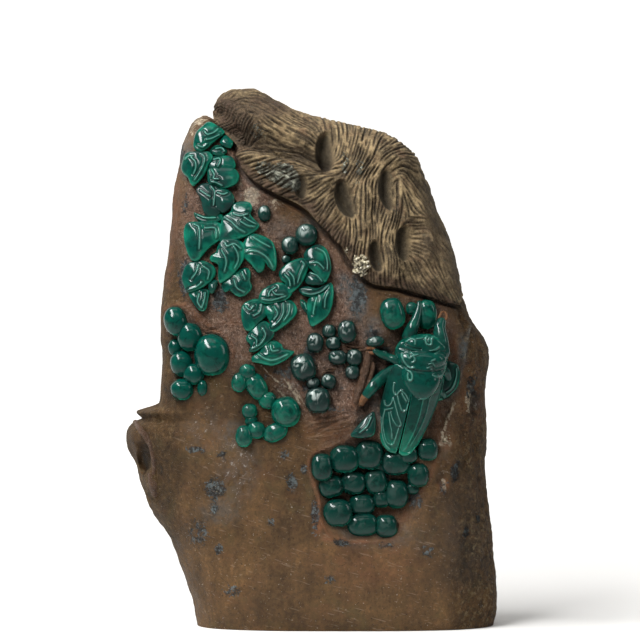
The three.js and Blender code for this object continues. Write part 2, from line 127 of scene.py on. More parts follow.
# The crown of unpolished skin, from the notch at its left end to the right flank. Each row has the
# crack line's x and z, then the x and z of the outline above it.
CROWN = [
    [-50, 257.5, -51.5, 263],
    [-44, 250.5, -48.5, 270],
    [-37.5, 243, -41.5, 275],
    [-35.5, 233.5, -31, 275.5],
    [-29, 226, -18.5, 269.5],
    [-18, 219.5, -6.5, 263],
    [-5, 213, 9, 259.5],
    [4.5, 203.5, 25.5, 255.5],
    [14, 194, 41, 250.5],
    [20.5, 184, 52.5, 242],
    [31, 174, 58.5, 229],
    [44, 172, 64, 214],
    [60, 167.5, 71.5, 194.5],
    [75.5, 163.5, 77.5, 169.5],
]
CROWN_PROUD = 4.5
CROWN_SQUARENESS = 2.2
CROWN_BURIED = 5
CROWN_CREASE = 80
# How many points the crown's ball has, and the shares of a turn that lie on the front and the back.
CROWN_BALL = (222, 430)
CROWN_FRONT_SHARE = 0.76
CROWN_BACK_SHARE = 0.17

# Hollows of the face: x, z, half width, half height and depth.
FACE_HOLLOWS = [
    [31, 71, 31, 28, 7],
    [53, 124, 25, 38, 6],
    [-60, 138, 19, 23, 3],
    [-23, 113, 17, 20, 2],
    [10, 134, 22, 24, 2],
    [-46, 222, 18, 34, 2.5],
    [-8, 168, 28, 34, 2],
    [-84.5, 85, 5, 9, 6],
]
# The share of a hollow's radius that its level floor takes.
FACE_FLOOR = 0.5

# Reddish ground of the crown: x, z, half width, half height, strength.
CROWN_RED = [
    [-38, 251, 15, 17, 1],
    [-44, 262, 13, 13, 1],
    [-24, 263, 22, 10, 0.7],
    [-4, 209.5, 10, 5, 1],
    [8, 236, 5, 9, 0.4],
    [60, 190, 12, 24, 0.3],
    [22, 228, 16, 8, 0.25],
    [-28, 244, 10, 6, 0.5],
    [4, 207, 8, 8, 0.6],
    [26, 176, 16, 4, 0.7],
]
# Darker ground of the crown: x, z, half width, half height, strength. Some lie in the broad valley under
# the knob and on the right flank, where they paint shade.
CROWN_DARK = [
    [-47, 268, 10, 9, 0.7],
    [-30, 265, 24, 14, 0.75],
    [-34, 249, 13, 6, 0.7],
    [-20, 245, 16, 5, 0.65],
    [-6, 226, 6, 7, 0.5],
    [26, 204, 8, 8, 0.3],
    [-2, 258, 14, 5, 0.3],
    [60, 208, 9, 28, 0.45],
    [72, 182, 9, 20, 0.45],
    [2, 212, 8, 5, 0.5],
    [36, 184, 6, 10, 0.3],
]
# Eye-shaped hollows of the crown: x, z, half width, half height, depth and lean. Each has a sharp
# left lip, a steep left wall and a floor that rises to the right.
CROWN_EYES = [
    [8.2, 242.4, 6.8, 9.8, 7.5, -4],
    [-4.6, 222.3, 5, 5.8, 3.6, 0],
    [17.6, 217, 6.6, 10.4, 6.2, -18],
    [39.2, 222, 6.6, 11, 6.4, -5],
    [47.4, 194.6, 6.4, 9.4, 5.6, 0],
    [33, 188, 5, 8.4, 6, -10],
]
# The span of the steep wall, where a whole hollow spans 2.
EYE_WALL = 0.72
# Broad valleys (below 0) and ridges of the crown: height, half width, then x and z.
CROWN_FOLDS = [
    [-4.4, 7, -39, 250, -31, 247.5, -19, 245, -6, 240, 5, 234],
    [-1.6, 4, -36, 246, -24, 243, -12, 239],
    [2, 6, -36, 263, -27, 259, -15, 255.4, -3, 249],
    [1.8, 4.4, -36, 239, -25, 237, -12, 233, -2, 229.4, 7, 227],
    [-2.4, 4, -48, 262, -43, 257, -37, 252],
    [1.6, 3, -46, 267, -38, 262, -33, 255],
    [1.6, 5, 21, 252, 24, 240, 27, 228, 27, 214, 25, 204],
    [1.6, 4, 31, 242, 38, 238.6, 48, 237],
    [1.8, 5, 5, 226, 8, 216, 10, 206, 14, 197],
    [1.4, 5, 55, 214, 58, 200, 58, 186],
    [1.4, 4, 40, 208, 39, 198, 40, 188, 42, 178],
    [-1.6, 6, 52, 228, 60, 214, 66, 198],
    [-1.8, 3.4, -24, 217, -15, 216, -8, 213],
    [1.4, 3, -24, 233, -16, 229, -9, 222],
]

# The way the bark's grooves run: x, z, and degrees from +X.
GRAIN = [
    [-43.5, 266, 45], [-40, 261, 35], [-33.5, 262.5, -5], [-26.5, 258, -40], [-22.5, 261.5, -35],
    [-13.5, 257, -30], [-15.5, 249, -30], [-9, 245, -32], [-4.5, 240.5, -35], [2.5, 236, -20],
    [9, 232.5, -5], [-26.5, 242.5, 5], [-18, 238, 10], [-11, 240.5, -5], [-6.5, 237.5, -25],
    [-15.5, 236, 25], [-19, 232.5, 30], [-13.5, 231.5, 25], [-14, 223.5, 35], [-9, 219.5, 15],
    [-2, 233, -10], [4.5, 229, 8], [6.5, 224.5, 32], [4.5, 220, 38], [9, 216, 48], [10, 211.5, 55],
    [-2, 217, 25], [-4.5, 210, -20], [-33.5, 254.5, 60], [-35, 249, 60], [13.5, 249, 88],
    [11, 253.5, 105], [18.5, 241.5, 75], [24, 241.5, 75], [23, 233, 57], [19.5, 230, 60],
    [30, 233, 57], [30, 244.5, 78], [38.5, 243, 40], [44, 240.5, 20], [48, 239, 0],
    [41.5, 237.5, 40], [50, 235, -20], [53, 227.5, -50], [55.5, 218.5, -60], [28, 218.5, -85],
    [31.5, 213, 85], [36, 210, 70], [30, 204.5, 97], [22.5, 201.5, 95], [24, 195.5, 80],
    [38.5, 201.5, 70], [39.5, 191, -75], [41.5, 181.5, 85], [46.5, 181.5, -70], [53, 179.5, -65],
    [58.5, 175.5, -50], [55.5, 190, -30], [53, 201.5, 0], [9.5, 218.5, 48], [7.5, 210, 60],
    [17, 208.5, 110], [12.5, 205.5, 45], [64, 201.5, -65], [67, 181.5, -70],
]
GRAIN_CELL = 0.25
GRAIN_LOW = (-58, 158)
GRAIN_HIGH = (84, 282)
# How many cells share one direction, and how fast a hint's pull fades with distance.
GRAIN_COARSE = 4
GRAIN_BLUR = 1.2
GRAIN_FADE = 3.2
GROOVE_TRIES = 9000
GROOVE_STEP = 0.4
GROOVE_LENGTH = (10, 34)
GROOVE_STRENGTH = (0.55, 1)
GROOVE_LEAST_STEPS = 9
GROOVE_TAPER_STEPS = 8
# Where the grooves are fainter: x, z, half width, half height, and how much.
CALM = [
    [-46, 270, 12, 9, 0.45],
    [-20, 268, 22, 7, 0.4],
    [62, 205, 10, 36, 0.6],
    [72, 180, 10, 20, 0.6],
    [2, 262, 12, 7, 0.3],
    [-4, 209, 9, 4.5, 0.8],
]

# Berries: x, z, half width, half height, and lean in degrees.
BERRIES = {
    "left": [
        [-68.4, 155.4, 5.9, 7.4, 12],
        [-61.3, 147.5, 6.4, 7.2, 0],
        [-49.9, 138.3, 9.1, 10.5, 6],
        [-68.9, 142.2, 3.5, 4.3, 0],
        [-65.4, 133.9, 5.8, 6.6, 8],
        [-59.2, 128.7, 5.5, 5.4, 0],
        [-65.1, 121.1, 5.9, 5.4, 0],
        [-54.9, 122, 2.6, 4, 0],
    ],
    "middle": [
        [-36.4, 124.8, 4, 4.9, -8],
        [-32.4, 130.1, 4.2, 4, 0],
        [-28, 123, 5.2, 7.2, 32],
        [-22.2, 115.9, 4.6, 4.4, -20],
        [-13, 110, 7.5, 7.8, 0],
        [-18.3, 99.9, 6.6, 4.6, 28],
        [-31.2, 110.3, 4, 4, 0],
        [-30.4, 105.6, 3.2, 3, 0],
        [-27.9, 101, 4.7, 4.4, 0],
        [-34, 97.9, 4.3, 5.6, 0],
    ],
    "small": [
        [17.6, 150.2, 4.7, 5.7, 0],
        [8.5, 150.5, 3.6, 3.4, 0],
        [1.5, 144.5, 4.3, 5, 0],
        [10.7, 144.5, 3.8, 3.4, 0],
        [12.9, 137.2, 4.8, 3.8, 0],
        [21.2, 137.2, 4.1, 4.3, 0],
        [20.3, 129.8, 3.8, 3.6, 0],
        [-4.3, 132.3, 6.4, 7, 22],
        [8.3, 125.2, 3.9, 3.8, 0],
        [0.6, 124.4, 3.5, 3.1, 0],
        [3, 115.8, 6.5, 6.5, 0],
    ],
    "upper": [
        [-11, 193.5, 4.5, 4.6, 0],
        [-2.8, 198.8, 5.7, 5.6, 0],
        [-13, 186.5, 2.3, 2.2, 0],
        [-24, 209.7, 3.2, 4.1, 0],
        [31.6, 145.2, 4.6, 2.6, 10],
    ],
    "perch": [
        [40.4, 159.2, 6.3, 8, 10],
        [57.6, 158.8, 5.2, 7.4, 0],
        [50, 161.8, 2.9, 3.2, 0],
    ],
    "lower": [
        [5, 82.5, 5.4, 6.8, 0],
        [16, 86.5, 7.6, 7, 4],
        [28.4, 88.6, 7.4, 7.8, -10],
        [42, 84.7, 8, 6.6, 6],
        [9.4, 72.6, 6.4, 5.8, 14],
        [20.6, 74.5, 6.8, 6.2, -6],
        [32, 75, 6, 6.6, 12],
        [42.4, 68.5, 6.2, 7.2, 0],
        [12.9, 59.4, 7.4, 7, 8],
        [25, 63.2, 6.8, 5.6, -5],
        [25.2, 53.2, 8, 5.8, 4],
        [37.3, 52.6, 5.8, 5.8, 0],
        [57.9, 91, 5.4, 5.6, 0],
        [53.2, 78.3, 5.5, 6.2, 0],
        [34.8, 66.4, 4.6, 4.6, 0],
        [35.4, 82.2, 4.6, 4, 0],
        [48.6, 88.6, 4.4, 4.6, 0],
        [50.6, 71.4, 3.4, 3, 0],
    ],
}
BERRY_BALL = (44, 28)
BERRY_DEPTH = 0.95
BERRY_LIFT = 0.18
# The way that a berry's painted highlight looks, and how near that way it starts.
GLARE_WAY = (-0.2, -0.9, 0.38)
GLARE_START = 0.76
# Each cluster's greyness, darkness, lightness and squareness. The lower cluster's darkness is painted
# shade of the recess that it sits in.
BERRY_STONE = {
    "left": (0, 0, 0.12, 2.15),
    "middle": (0.05, 0, 0.36, 2.25),
    "small": (1, 0.25, 0.05, 2.4),
    "upper": (0.75, 0.1, 0.1, 2.2),
    "perch": (0.05, 0, 0.32, 2.4),
    "lower": (0.1, 0.42, 0.1, 2.6),
}

# Leaves, each with its lift off the face, its greyness, the points of its outline, and its carved
# ridges. A row of points is x, z, x, z and so on.
LEAVES = {
    "fold": (1.2, 0.0, [
        -52.2, 255.2, -49, 254.1, -44.7, 250.9, -45.2, 249, -48.4, 246.5, -51.7, 243.3, -54.9, 241.1,
        -57.9, 242.2, -58.7, 244.9, -57.7, 249.8, -54.9, 253], [
        [-53.9, 250.9, -52.2, 249.2, -49, 250.3, -47, 252.2], [-52.8, 246.5, -50.1, 247.1, -46.3, 249],
        [-57, 243.5, -54.5, 242.6, -52.5, 244.2]]),
    "knob": (0.6, 0.0, [
        -44.7, 247.4, -43, 248.7, -40.3, 247.1, -39.5, 244.4, -40.9, 242.5, -43.6, 243.3,
        -45.7, 244.9], []),
    "scale": (0.2, 0.1, [
        -50.6, 241.1, -48.4, 243.3, -45.2, 243.5, -43.3, 241.6, -43, 240, -45.2, 238.4, -48.4, 238.7,
        -50.1, 239.7], [[-48, 242, -45, 242.3, -43.6, 240.6]]),
    "hook": (2.0, 0.0, [
        -63.9, 236.2, -62.5, 238.9, -58.7, 239.7, -55, 239.5, -52.2, 239.5, -50.3, 237.3, -50.9, 235.1,
        -52.2, 233.5, -53.3, 230.3, -55.5, 227, -58.7, 224, -60.4, 225.1, -61.5, 227.6, -63.6, 229.7,
        -64.7, 232.4], [
        [-55.2, 239.2, -53.6, 237.3, -54.1, 233.5, -56.3, 229.2, -58.5, 225.9],
        [-60.4, 237.3, -58.2, 235.1, -57.9, 231.9, -59, 229], [-63.4, 236.5, -61.8, 238, -59.5, 238.2]]),
    "heart": (1.0, 0.15, [
        -50.1, 236.8, -47.9, 237.8, -44.7, 238.1, -40.9, 237.6, -39, 235.1, -38.7, 232.4, -41.4, 231.3,
        -45.7, 231.6, -50.1, 231.9, -51.2, 234.1], [
        [-49, 236.3, -46.3, 237, -45.7, 235.2, -46.8, 232.6]]),
    "shield": (1.6, 0.3, [
        -50.6, 231.3, -45.7, 232, -40.3, 231.9, -37.6, 229.7, -36.8, 227, -38.1, 224.3, -40.9, 222.7,
        -44.1, 222.1, -47.9, 223.8, -50.6, 224.3, -51.2, 228.1], [
        [-49.8, 230.8, -48.6, 228.4, -49, 226.5, -46.5, 226.3], [-50, 224.9, -47.8, 224.4, -44.6, 222.9]]),
    "slab": (1.2, 0.75, [
        -56.8, 221, -54.4, 223.2, -50.1, 223.2, -46.8, 221.6, -45.2, 218.9, -44.7, 214.5, -45.7, 210.2,
        -48.4, 208, -52.2, 208.6, -54.1, 211.8, -55, 216.2, -56.6, 218.9], [
        [-55.6, 220.6, -52.8, 218.6, -50.6, 217.4], [-50, 222.4, -48.3, 219.5, -48.8, 213]]),
    "plate": (1.8, 0.65, [
        -47.9, 220, -44.7, 221, -41.4, 220, -39.2, 217.3, -39, 214, -41.4, 211.3, -44.1, 209.7,
        -46.8, 211.8, -47.9, 215.6], [[-46.8, 219.3, -44, 218.5, -42, 219.2]]),
    "rim": (0.8, 0.1, [
        -57.9, 209.1, -54.4, 208, -50.1, 207.5, -45.7, 208.6, -45.2, 205.9, -49, 204.2, -53.9, 204.5,
        -57.1, 206.4], [[-57, 208.2, -53, 206.6, -48, 206.6]]),
    "crest": (1.4, 0.05, [
        -35.6, 213.8, -31.3, 213.3, -30, 210.6, -30.8, 207.9, -28.6, 205.2, -26.7, 203, -28.6, 200.3,
        -32.4, 198.1, -36.7, 196.5, -42.2, 195.7, -44.6, 195.9, -44.3, 202.4, -43.2, 206.8, -40, 209,
        -38.9, 212.2], [
        [-43.5, 206.8, -40, 204.6, -36.7, 201.4, -32.9, 199.2], [-33.5, 206.8, -30.6, 205, -27.6, 203.5],
        [-35.1, 204.6, -31.6, 202.6, -28.3, 202], [-38.9, 208.6, -35.6, 207.6, -31.6, 208.4]]),
    "tulip": (1.6, 0.05, [
        -62.7, 200.3, -61.1, 203.3, -56.2, 203.8, -51.9, 203.8, -47, 203.3, -45.1, 200.8, -45.1, 197.6,
        -47, 194.9, -50.3, 192.7, -53.5, 189.4, -56.2, 186.2, -59.5, 186.7, -61.7, 191.6, -62.7, 195.9], [
        [-58.4, 203.3, -56, 201.6, -55.7, 195.9, -55.8, 191], [-52.6, 201.4, -47.9, 201.3, -47.3, 196.5]]),
    "wave": (2.4, 0.0, [
        -42.2, 195.1, -38.4, 194.9, -35.1, 193.2, -33.8, 190.5, -34, 186.7, -35.6, 183.5, -38.9, 179.1,
        -42.2, 176.4, -45.1, 175.1, -45.9, 178.1, -45.7, 182.4, -47, 184, -49.5, 185.1, -49.2, 187.3,
        -47, 188.9, -45.9, 192.2, -44.3, 194.3], [
        [-44.6, 190, -42.7, 186.7, -42.2, 183.5, -43, 179.7],
        [-38.9, 192.7, -36.7, 188.9, -36.2, 185.1, -37.8, 181.3],
        [-43, 194, -41.6, 192.2, -38.4, 193.5, -35.1, 191.1]]),
    "claw": (2.0, 0.0, [
        -33.2, 191.6, -31.3, 195.4, -28.1, 197.3, -23.7, 196.2, -19.9, 193.8, -18.3, 190, -17.8, 185.6,
        -18, 182.4, -19.1, 180.5, -21.6, 182.4, -22.6, 184.5, -23.6, 181, -25.9, 179.7, -28.1, 181.9,
        -29.7, 184, -32.4, 186.7], [
        [-32.9, 189.4, -28.6, 190, -24.3, 188.4, -21, 185.6, -18.8, 181.3],
        [-29.1, 197, -25.9, 194.9, -20.5, 191.9]]),
    "turned": (1.6, 0.15, [
        -63.3, 179.1, -61.7, 182.4, -57.9, 184, -53.5, 184, -49.7, 181.9, -48.4, 179.1, -49.7, 175.9,
        -52.5, 173.2, -56.8, 171, -61.1, 169.9, -62.7, 172.6, -63.8, 175.9], [
        [-56.2, 182.8, -57.3, 179.1, -59.5, 176], [-53.5, 182, -50.8, 179.7, -51.4, 175.9],
        [-61.1, 170.4, -57.5, 171.7, -54.5, 174]]),
    "dart": (1.0, 0.1, [
        -60.9, 168.8, -57.9, 170.5, -54.1, 171, -51.9, 169.4, -52.2, 165.6, -53, 161.8, -54.6, 160.4,
        -56.8, 161.3, -59, 164, -60.6, 166.7], [
        [-56.4, 168.5, -57, 164.5, -55.2, 161.6], [-53.2, 169.2, -53.6, 165.6, -54.7, 161.8]]),
    "twist": (0.8, 0.2, [
        -51.4, 173.2, -49.2, 175.3, -47.3, 174.8, -48.1, 171, -49.7, 169.1, -51.1, 169.9], []),
    "root": (1.2, 0.1, [
        -44.3, 173.2, -41.6, 176.4, -37.8, 179.1, -33.5, 180.8, -31.3, 179.1, -31.3, 174.8, -30.5, 172.1,
        -32.4, 169.4, -35.1, 167.8, -37.8, 168.3, -40.5, 170.5, -42.7, 169.9], [
        [-38.9, 175.9, -37.3, 171.6, -33.5, 169.4], [-34.8, 179.7, -33.3, 175.9]]),
    "cap": (1.6, 0.1, [
        -3.1, 187.8, -0.4, 191.1, 3.9, 192.4, 7.2, 190, 8.8, 185.6, 9.3, 181.3, 8.3, 178.1, 6.6, 175.3,
        4.5, 177, 1.2, 180.2, -1.5, 182.9], [
        [2.8, 191.6, 6.4, 189.4, 7.9, 184.6, 7.9, 181], [-1, 184, 3, 184.3, 6.3, 181.3]]),
    "spoon": (2.4, 0.05, [
        -15.6, 179.1, -12.9, 182.4, -9.1, 184.6, -4.8, 185.6, -2, 183.5, -2.6, 180.8, -3.7, 177.5,
        -5.8, 173.7, -8.5, 171, -11.3, 169.1, -12.3, 171, -12.9, 174.3, -14.8, 175.9], [
        [-4.6, 184.8, -3.7, 183, -5.6, 178.6, -6.9, 174.3], [-11.3, 179.7, -9.1, 177, -8.5, 173.5],
        [-13.4, 178, -11.3, 175.6, -10.7, 172.6]]),
    "moon": (0.8, 0.6, [
        -2.6, 178.1, 0.7, 180, 3.9, 178.1, 6.1, 175.3, 5, 173.5, 0.7, 173.2, -2.6, 174.3], [
        [-0.8, 179.2, 2.8, 177.8, 5.2, 175]]),
    "boat": (1.6, 0.25, [
        -5.6, 171, -2, 172.3, 2.3, 171.4, 6.1, 172.6, 9.1, 174, 8.3, 171, 5, 168.8, 0.7, 167.5,
        -3.7, 168.3], [[-4.6, 169.2, -0.2, 168.3, 5, 169.8, 8.4, 172.8]]),
    "fan": (1.8, 0.0, [
        -1, 165.6, 1.8, 167.8, 6.1, 169.4, 9.3, 172.6, 10.4, 169.4, 9.9, 164, 8.3, 159.1, 5, 155.8,
        0.7, 153.4, -1, 156.4, -1.8, 161.3], [
        [2.4, 166.6, 1.4, 162.3, 0.8, 158.6], [8.4, 169.5, 7, 166.3, 6.6, 162]]),
    "chip": (0.3, 0.1, [
        -5.3, 165.6, -3.1, 164.5, -1.5, 161.8, -2, 159.4, -3.7, 160.2, -5.3, 162.9], [
        [-3.6, 164, -2.5, 161]]),
    "lips": (2.2, 0.05, [
        -25.6, 167.2, -23.7, 170.5, -19.9, 172.9, -15.6, 173.7, -11.8, 171.6, -10.7, 168.8, -12.9, 166.1,
        -17.2, 164.8, -22.1, 164, -25.1, 165.1], [
        [-24.8, 165.8, -19.9, 165.4, -13.2, 167.4], [-21.6, 167.4, -20.8, 169.9, -18, 171.9],
        [-19.9, 170.8, -18, 168.3, -14.2, 168.2]]),
    "bud": (1.2, 0.1, [
        -34.3, 161.8, -32.4, 164, -28.1, 165.3, -24.8, 164, -23.2, 161.3, -23.7, 157.5, -26.4, 154.8,
        -29.7, 151.2, -32.9, 151.5, -34.3, 155.3, -34.6, 158.5], [
        [-25, 163.2, -25.9, 159.6, -28.8, 157.6], [-33, 162.4, -30.9, 160.6, -29, 162.6]]),
    "palm": (1.8, 0.0, [
        -22.6, 161.8, -19.9, 164, -15.6, 165.3, -11.3, 164.8, -8.5, 161.8, -8.5, 158.5, -11.3, 155.3,
        -14.5, 152.6, -18.3, 150.4, -21, 151, -20.5, 154.8, -22.1, 158], [
        [-14.2, 164, -14.3, 158.5, -17, 154.2, -19.9, 152.2], [-18.8, 162.4, -17, 158.8, -18.8, 155.8],
        [-11, 163.6, -11.4, 159, -13.8, 155.4]]),
    "tongue": (1.4, 0.15, [
        -32.1, 146.1, -30.2, 149.9, -27, 153.1, -23.7, 154.2, -20.5, 151.5, -19.4, 148.2, -21.6, 145,
        -24.8, 142.3, -28.1, 140.4, -30.8, 140.7, -30.2, 143.4], [
        [-24.3, 151.4, -23, 147.6, -25.9, 143.2, -29.9, 141.2],
        [-29.9, 147.6, -27.5, 145.6, -27.5, 142.6]]),
    "crescent": (1.2, 0.0, [
        -28.6, 137.4, -25.9, 139.4, -22.8, 143.6, -18.8, 144.6, -15.6, 142.9, -14.5, 140.9, -9.9, 139.6,
        -12.3, 136.9, -15.6, 134.7, -19.9, 133.3, -24.8, 134.2, -28.6, 135.2], [
        [-26.6, 138.4, -22.6, 136, -18.3, 135.6, -12, 138.2], [-20.6, 142.8, -19.6, 140.2, -16.6, 140.4]]),
    "fin": (0.4, 0.7, [
        30.6, 108.9, 27.4, 106.7, 24.2, 103.5, 21.3, 100.3, 20.4, 98, 24.8, 97.1, 29.3, 97.7, 31.2, 99.7,
        31.5, 104.8], [[29.8, 107, 27.6, 102.6, 24, 99.4]]),
    "low_leaf": (-0.6, 0.4, [
        68.1, 134, 72.7, 133.2, 74.2, 127.9, 72.6, 121.7, 68.1, 117.4, 63.5, 116.2, 62.7, 121.7,
        64, 128.4, 65.6, 132], [[73, 131, 72.8, 126.6, 70.4, 121, 66, 118]]),
}
# The first leaves of the table are the upper ones.
UPPER_LEAVES = 14
LEAF_BALL = (96, 46)
LEAF_EDGE = 2.2
LEAF_TILT = 2
LEAF_GROWTH = 1.13
LEAF_SHIFT = {"leaves_upper": (-0.7, 0.8), "leaves_middle": (-0.2, 0.5)}
LEAF_DOME = 1.7
LEAF_ROOT = 3
RIDGE_HEIGHT = 0.55
RIDGE_WIDTH = 0.66
# Shares of a ball's fall that lie over an outline's top and its wall, the share of the top that
# rounds over to the rim, and how far the wall cuts back.
TOP_SHARE = 0.78
WALL_SHARE = 0.12
ROUNDING = 0.15
UNDERCUT = 0.1
# Creases of the green stone, in degrees.
GREEN_CREASE = 70
# Shadowed ground: how far an outline's half size passes its points' spread, and the margins of
# shadow round leaves and berries.
OUTLINE_SPREAD = 1.42
LEAF_SHADOW = 1.8
BERRY_SHADOW = 2.2

# The cicada's place on the face, x and z, and its lean in degrees. Its own tables run along its back
# towards the head, across to the right, and up off the stone.
CICADA = (49.5, 118, 13)
TRUNK_BALL = (200, 150)
WING_BALL = (150, 96)
LIMB_BALL = (28, 40)
# The trunk's outline as along and across, and the forms that swell from it: along, across, half
# length, half width, height, and how much each is skewed.
TRUNK = [
    31.5, -1.6, 29.9, -6.8, 26.6, -10.8, 22.2, -12.9, 18.3, -12.4, 15.7, -10.2, 11.3, -8.8,
    6.3, -6.6, 1.7, -2.6, -3.1, 2.4, -1.4, 6.8, 3, 10.5, 9.2, 13, 15.8, 14.2, 22, 14, 27.2, 12.4,
    30.4, 8.9, 32.3, 3.7,
]
TRUNK_FORMS = [
    [27.4, 0.4, 5, 10.6, 12.8, 0.24],
    [23.2, -10.2, 4, 3.8, 10.4, 0],
    [27.8, 9.6, 4, 3.8, 10.4, 0],
    [18.6, 0.6, 4.6, 13, 14.8, 0.2],
    [7.4, 2.8, 10.2, 11.4, 16.2, -0.1],
]
TRUNK_BASE = 5.6
TRUNK_SWELL = 6.2
# How sharp the creases between the forms are.
TRUNK_CREASE = 1.25
# Grooves (below 0) and ridges cut in the body: height, half width, then along and across.
BODY_LINES = [
    [0.8, 0.8, 19.4, -9.4, 17.6, -8.6, 15.2, -6.6, 13.6, -3.8, 14.2, -2],
    [0.6, 0.6, 19.6, -6.4, 18.2, -5.2, 19.8, -3.8, 17.8, -2.2, 16.4, -3.6],
    [0.6, 0.6, 21.4, -5.2, 20.4, -3.2, 21.2, -1.4],
    [0.8, 0.8, 13.6, -8.2, 12.6, -5.4, 11.2, -2.6, 8.6, -1.6, 7.4, -2.8, 8.6, -3.8, 10.4, -4.2],
    [-0.6, 0.9, 12.9, -8, 13, -2, 13.4, 3, 14.6, 8, 16.6, 13],
    [-0.35, 0.8, 22.4, -12, 22, -7, 22.2, 0, 24, 6, 25.6, 12],
    [0.45, 0.6, 17.4, 5, 18.4, 6.6, 17.2, 8],
    [0.45, 0.6, 19.4, 5.8, 20.6, 7.4],
    [0.45, 0.6, 15.4, 4.6, 16.6, 6],
    [0.5, 0.7, 12.6, 8.2, 12.4, 10.6, 13.8, 13],
    [0.9, 0.8, 1.6, -3.4, -1.8, 0.2, -3, 2.6, -0.8, 4.4, 0.6, 8.2],
    [0.6, 0.7, 25.4, -9, 27.6, -7, 27.8, -4.6, 25.8, -4],
    [0.5, 0.6, 28.6, -3.6, 29.6, -1],
    [0.9, 0.7, 31.8, 1, 29, 0.6, 27, 2, 27.4, 3.8, 29.6, 3.6, 31.6, 3.8],
    [0.5, 0.6, 30.6, 2.2, 28.4, 2.4],
    [0.6, 0.7, 24.2, 4.4, 25.2, 6.4, 27, 8],
    [0.5, 0.6, 23.4, 6.8, 24.8, 8.6],
    [-0.5, 0.8, 26.6, -10.6, 24.4, -7.4, 23.6, -4, 24, -0.6],
]
# The wings' outlines, and their carved veins, as along and across.
WINGS = {
    "left": [
        14, -10.4, 11.6, -12.6, 5.5, -13.6, -4, -13.9, -11.8, -13.6, -19.4, -12, -26, -9.2,
        -29.2, -5.4, -29.9, -2.2, -28.6, -0.6, -18, -0.3, -6, -0.3, 6, -0.3, 12, -4],
    "right": [
        13, 4, 6, 0.2, -6, 0.2, -18, 0.3, -28.2, 0.3, -29.8, 1.6, -30, 3.4, -28.4, 6,
        -22.7, 8.9, -13.4, 11.5, -5.9, 13, 2.3, 14.2, 8, 14.6, 13, 13.4],
}
# The wings' roof: along, its height at the ridge between them, and at their outer edge.
WING_ROOF = [
    [-31, 7.6, 4.4],
    [-24, 10.4, 4.4],
    [-14, 13, 5],
    [-4, 14.4, 5.8],
    [6, 14, 6.6],
    [14, 11, 6.6],
]
WING_HALF = 14.2
WING_BULGE = 2.2
WING_ROOT = -5
WING_VEINS = {
    "left": [
        [4.5, -9.8, 1.1, -9.4, -0.9, -8.3, -0.8, -7.2, 1.1, -6.2, 1.4, -5.1, -0.3, -2.5, -2.8, -0.6],
        [-1.4, -6.7, -5.3, -4.7, -8.2, -2.5, -7, -0.9, -4.2, -0.7],
        [0.3, -4.9, -3.1, -1.8],
        [-3.5, -8.3, -6.1, -6.7, -10.8, -4.2, -15, -1.7, -16.1, -3.3, -13.5, -6.2, -10.2, -8.1],
        [-5.3, -12.6, -7.3, -11.6, -7.2, -9.9, -5.5, -8.8, -3.2, -8.7],
        [-9.7, -11.4, -8.1, -7.8],
        [-9.9, -11.2, -15, -11, -20.3, -9.3, -24.6, -7, -26, -4.6, -24.5, -3.1, -17, -2.4],
        [-10.7, -8.9, -15.9, -7, -19.5, -5.4, -22.6, -4.6],
        [-14, -12.2, -22, -9.6, -26.4, -7, -28.2, -4.4],
    ],
    "right": [
        [7, 5.4, -4, 6.4, -14, 6, -22, 4.4, -27.6, 2.6],
        [4, 9, -6, 9.4, -16, 7.8, -24, 5.4],
    ],
}
VEIN_HEIGHT = 0.7
VEIN_WIDTH = 0.45
VEIN_REACH = 2.2
# How smoky each wing is, how bright its veins are, and how light its stone is.
WING_STONE = {"left": (0.3, 0.75, 0.1), "right": (0, 0.3, 0.2)}
# Limbs: a run of points, each along, across, up and radius.
LEGS = {
    "left_fore": [
        29, -7.6, 5.5, 3.6, 33, -7, 6, 3.3, 37.2, -6.1, 5, 2.6, 42.8, -5.8, 3.4, 1.8,
        46.3, -6.2, 2.2, 1.4],
    "right_fore": [25, 10.4, 6, 4, 30.2, 8.6, 6.5, 3.7, 35.6, 6.6, 5.5, 3.1, 39.4, 6.6, 3.8, 2.5],
    "left_middle": [
        14.6, -9, 6, 2.4, 15.8, -12, 6, 2.3, 16.4, -15.5, 5.4, 2.1, 17, -19.6, 4.4, 1.9,
        17.8, -22.6, 3.4, 1.4],
    "left_hind": [
        11.4, -10.6, 4.5, 2.6, 6.5, -15.5, 4, 3.1, 0.9, -19.1, 2.6, 3, -4.4, -21.8, 1, 2.4],
    "right_middle": [17, 11.5, 2.5, 2.8, 15.4, 14.4, 0.8, 2.6, 13, 16.4, -0.6, 2],
    "right_hind": [7, 11.5, 2.2, 2.4, 5, 14.6, 0.4, 2.2, 3.6, 16.4, -0.8, 1.6],
    "spur": [16.8, -16.4, 6.9, 0.6, 18.4, -17, 6.6, 0.6, 18.3, -19.2, 6, 0.6, 16.8, -19.7, 5.8, 0.6],
}
LIMB_PROUD = 0.45
# A tube's direction is read this far to either side, and its rings start from a way that none follows.
TUBE_REACH = 0.35
TUBE_START = (0.12, 0.21, 1.0)
# The cicada's brown claws, in the same way.
CLAWS = {
    "fore_claw_left": [38.6, 5.6, 3.4, 0.7, 41.5, 5.2, 3, 0.7, 44, 5.8, 2, 0.6, 44.8, 6.8, 1.2, 0.5],
    "fore_claw_right": [
        39.4, 8.2, 3.4, 0.7, 42.2, 8.9, 2.6, 0.7, 44, 8.2, 1.8, 0.6, 44.8, 7.4, 1.2, 0.5],
    "middle_claw_low": [17.6, -22, 3.6, 1, 16.4, -24.4, 3, 0.8, 16.6, -26.4, 2, 0.6],
    "middle_claw_high": [18, -22, 3.6, 1, 19, -24.2, 3, 0.8, 18.2, -26.6, 2, 0.6],
    "hind_end": [-3, -21.2, 1.6, 2.3, -6.4, -22.6, 0.8, 2, -9.4, -23.4, -0.4, 1.4],
}
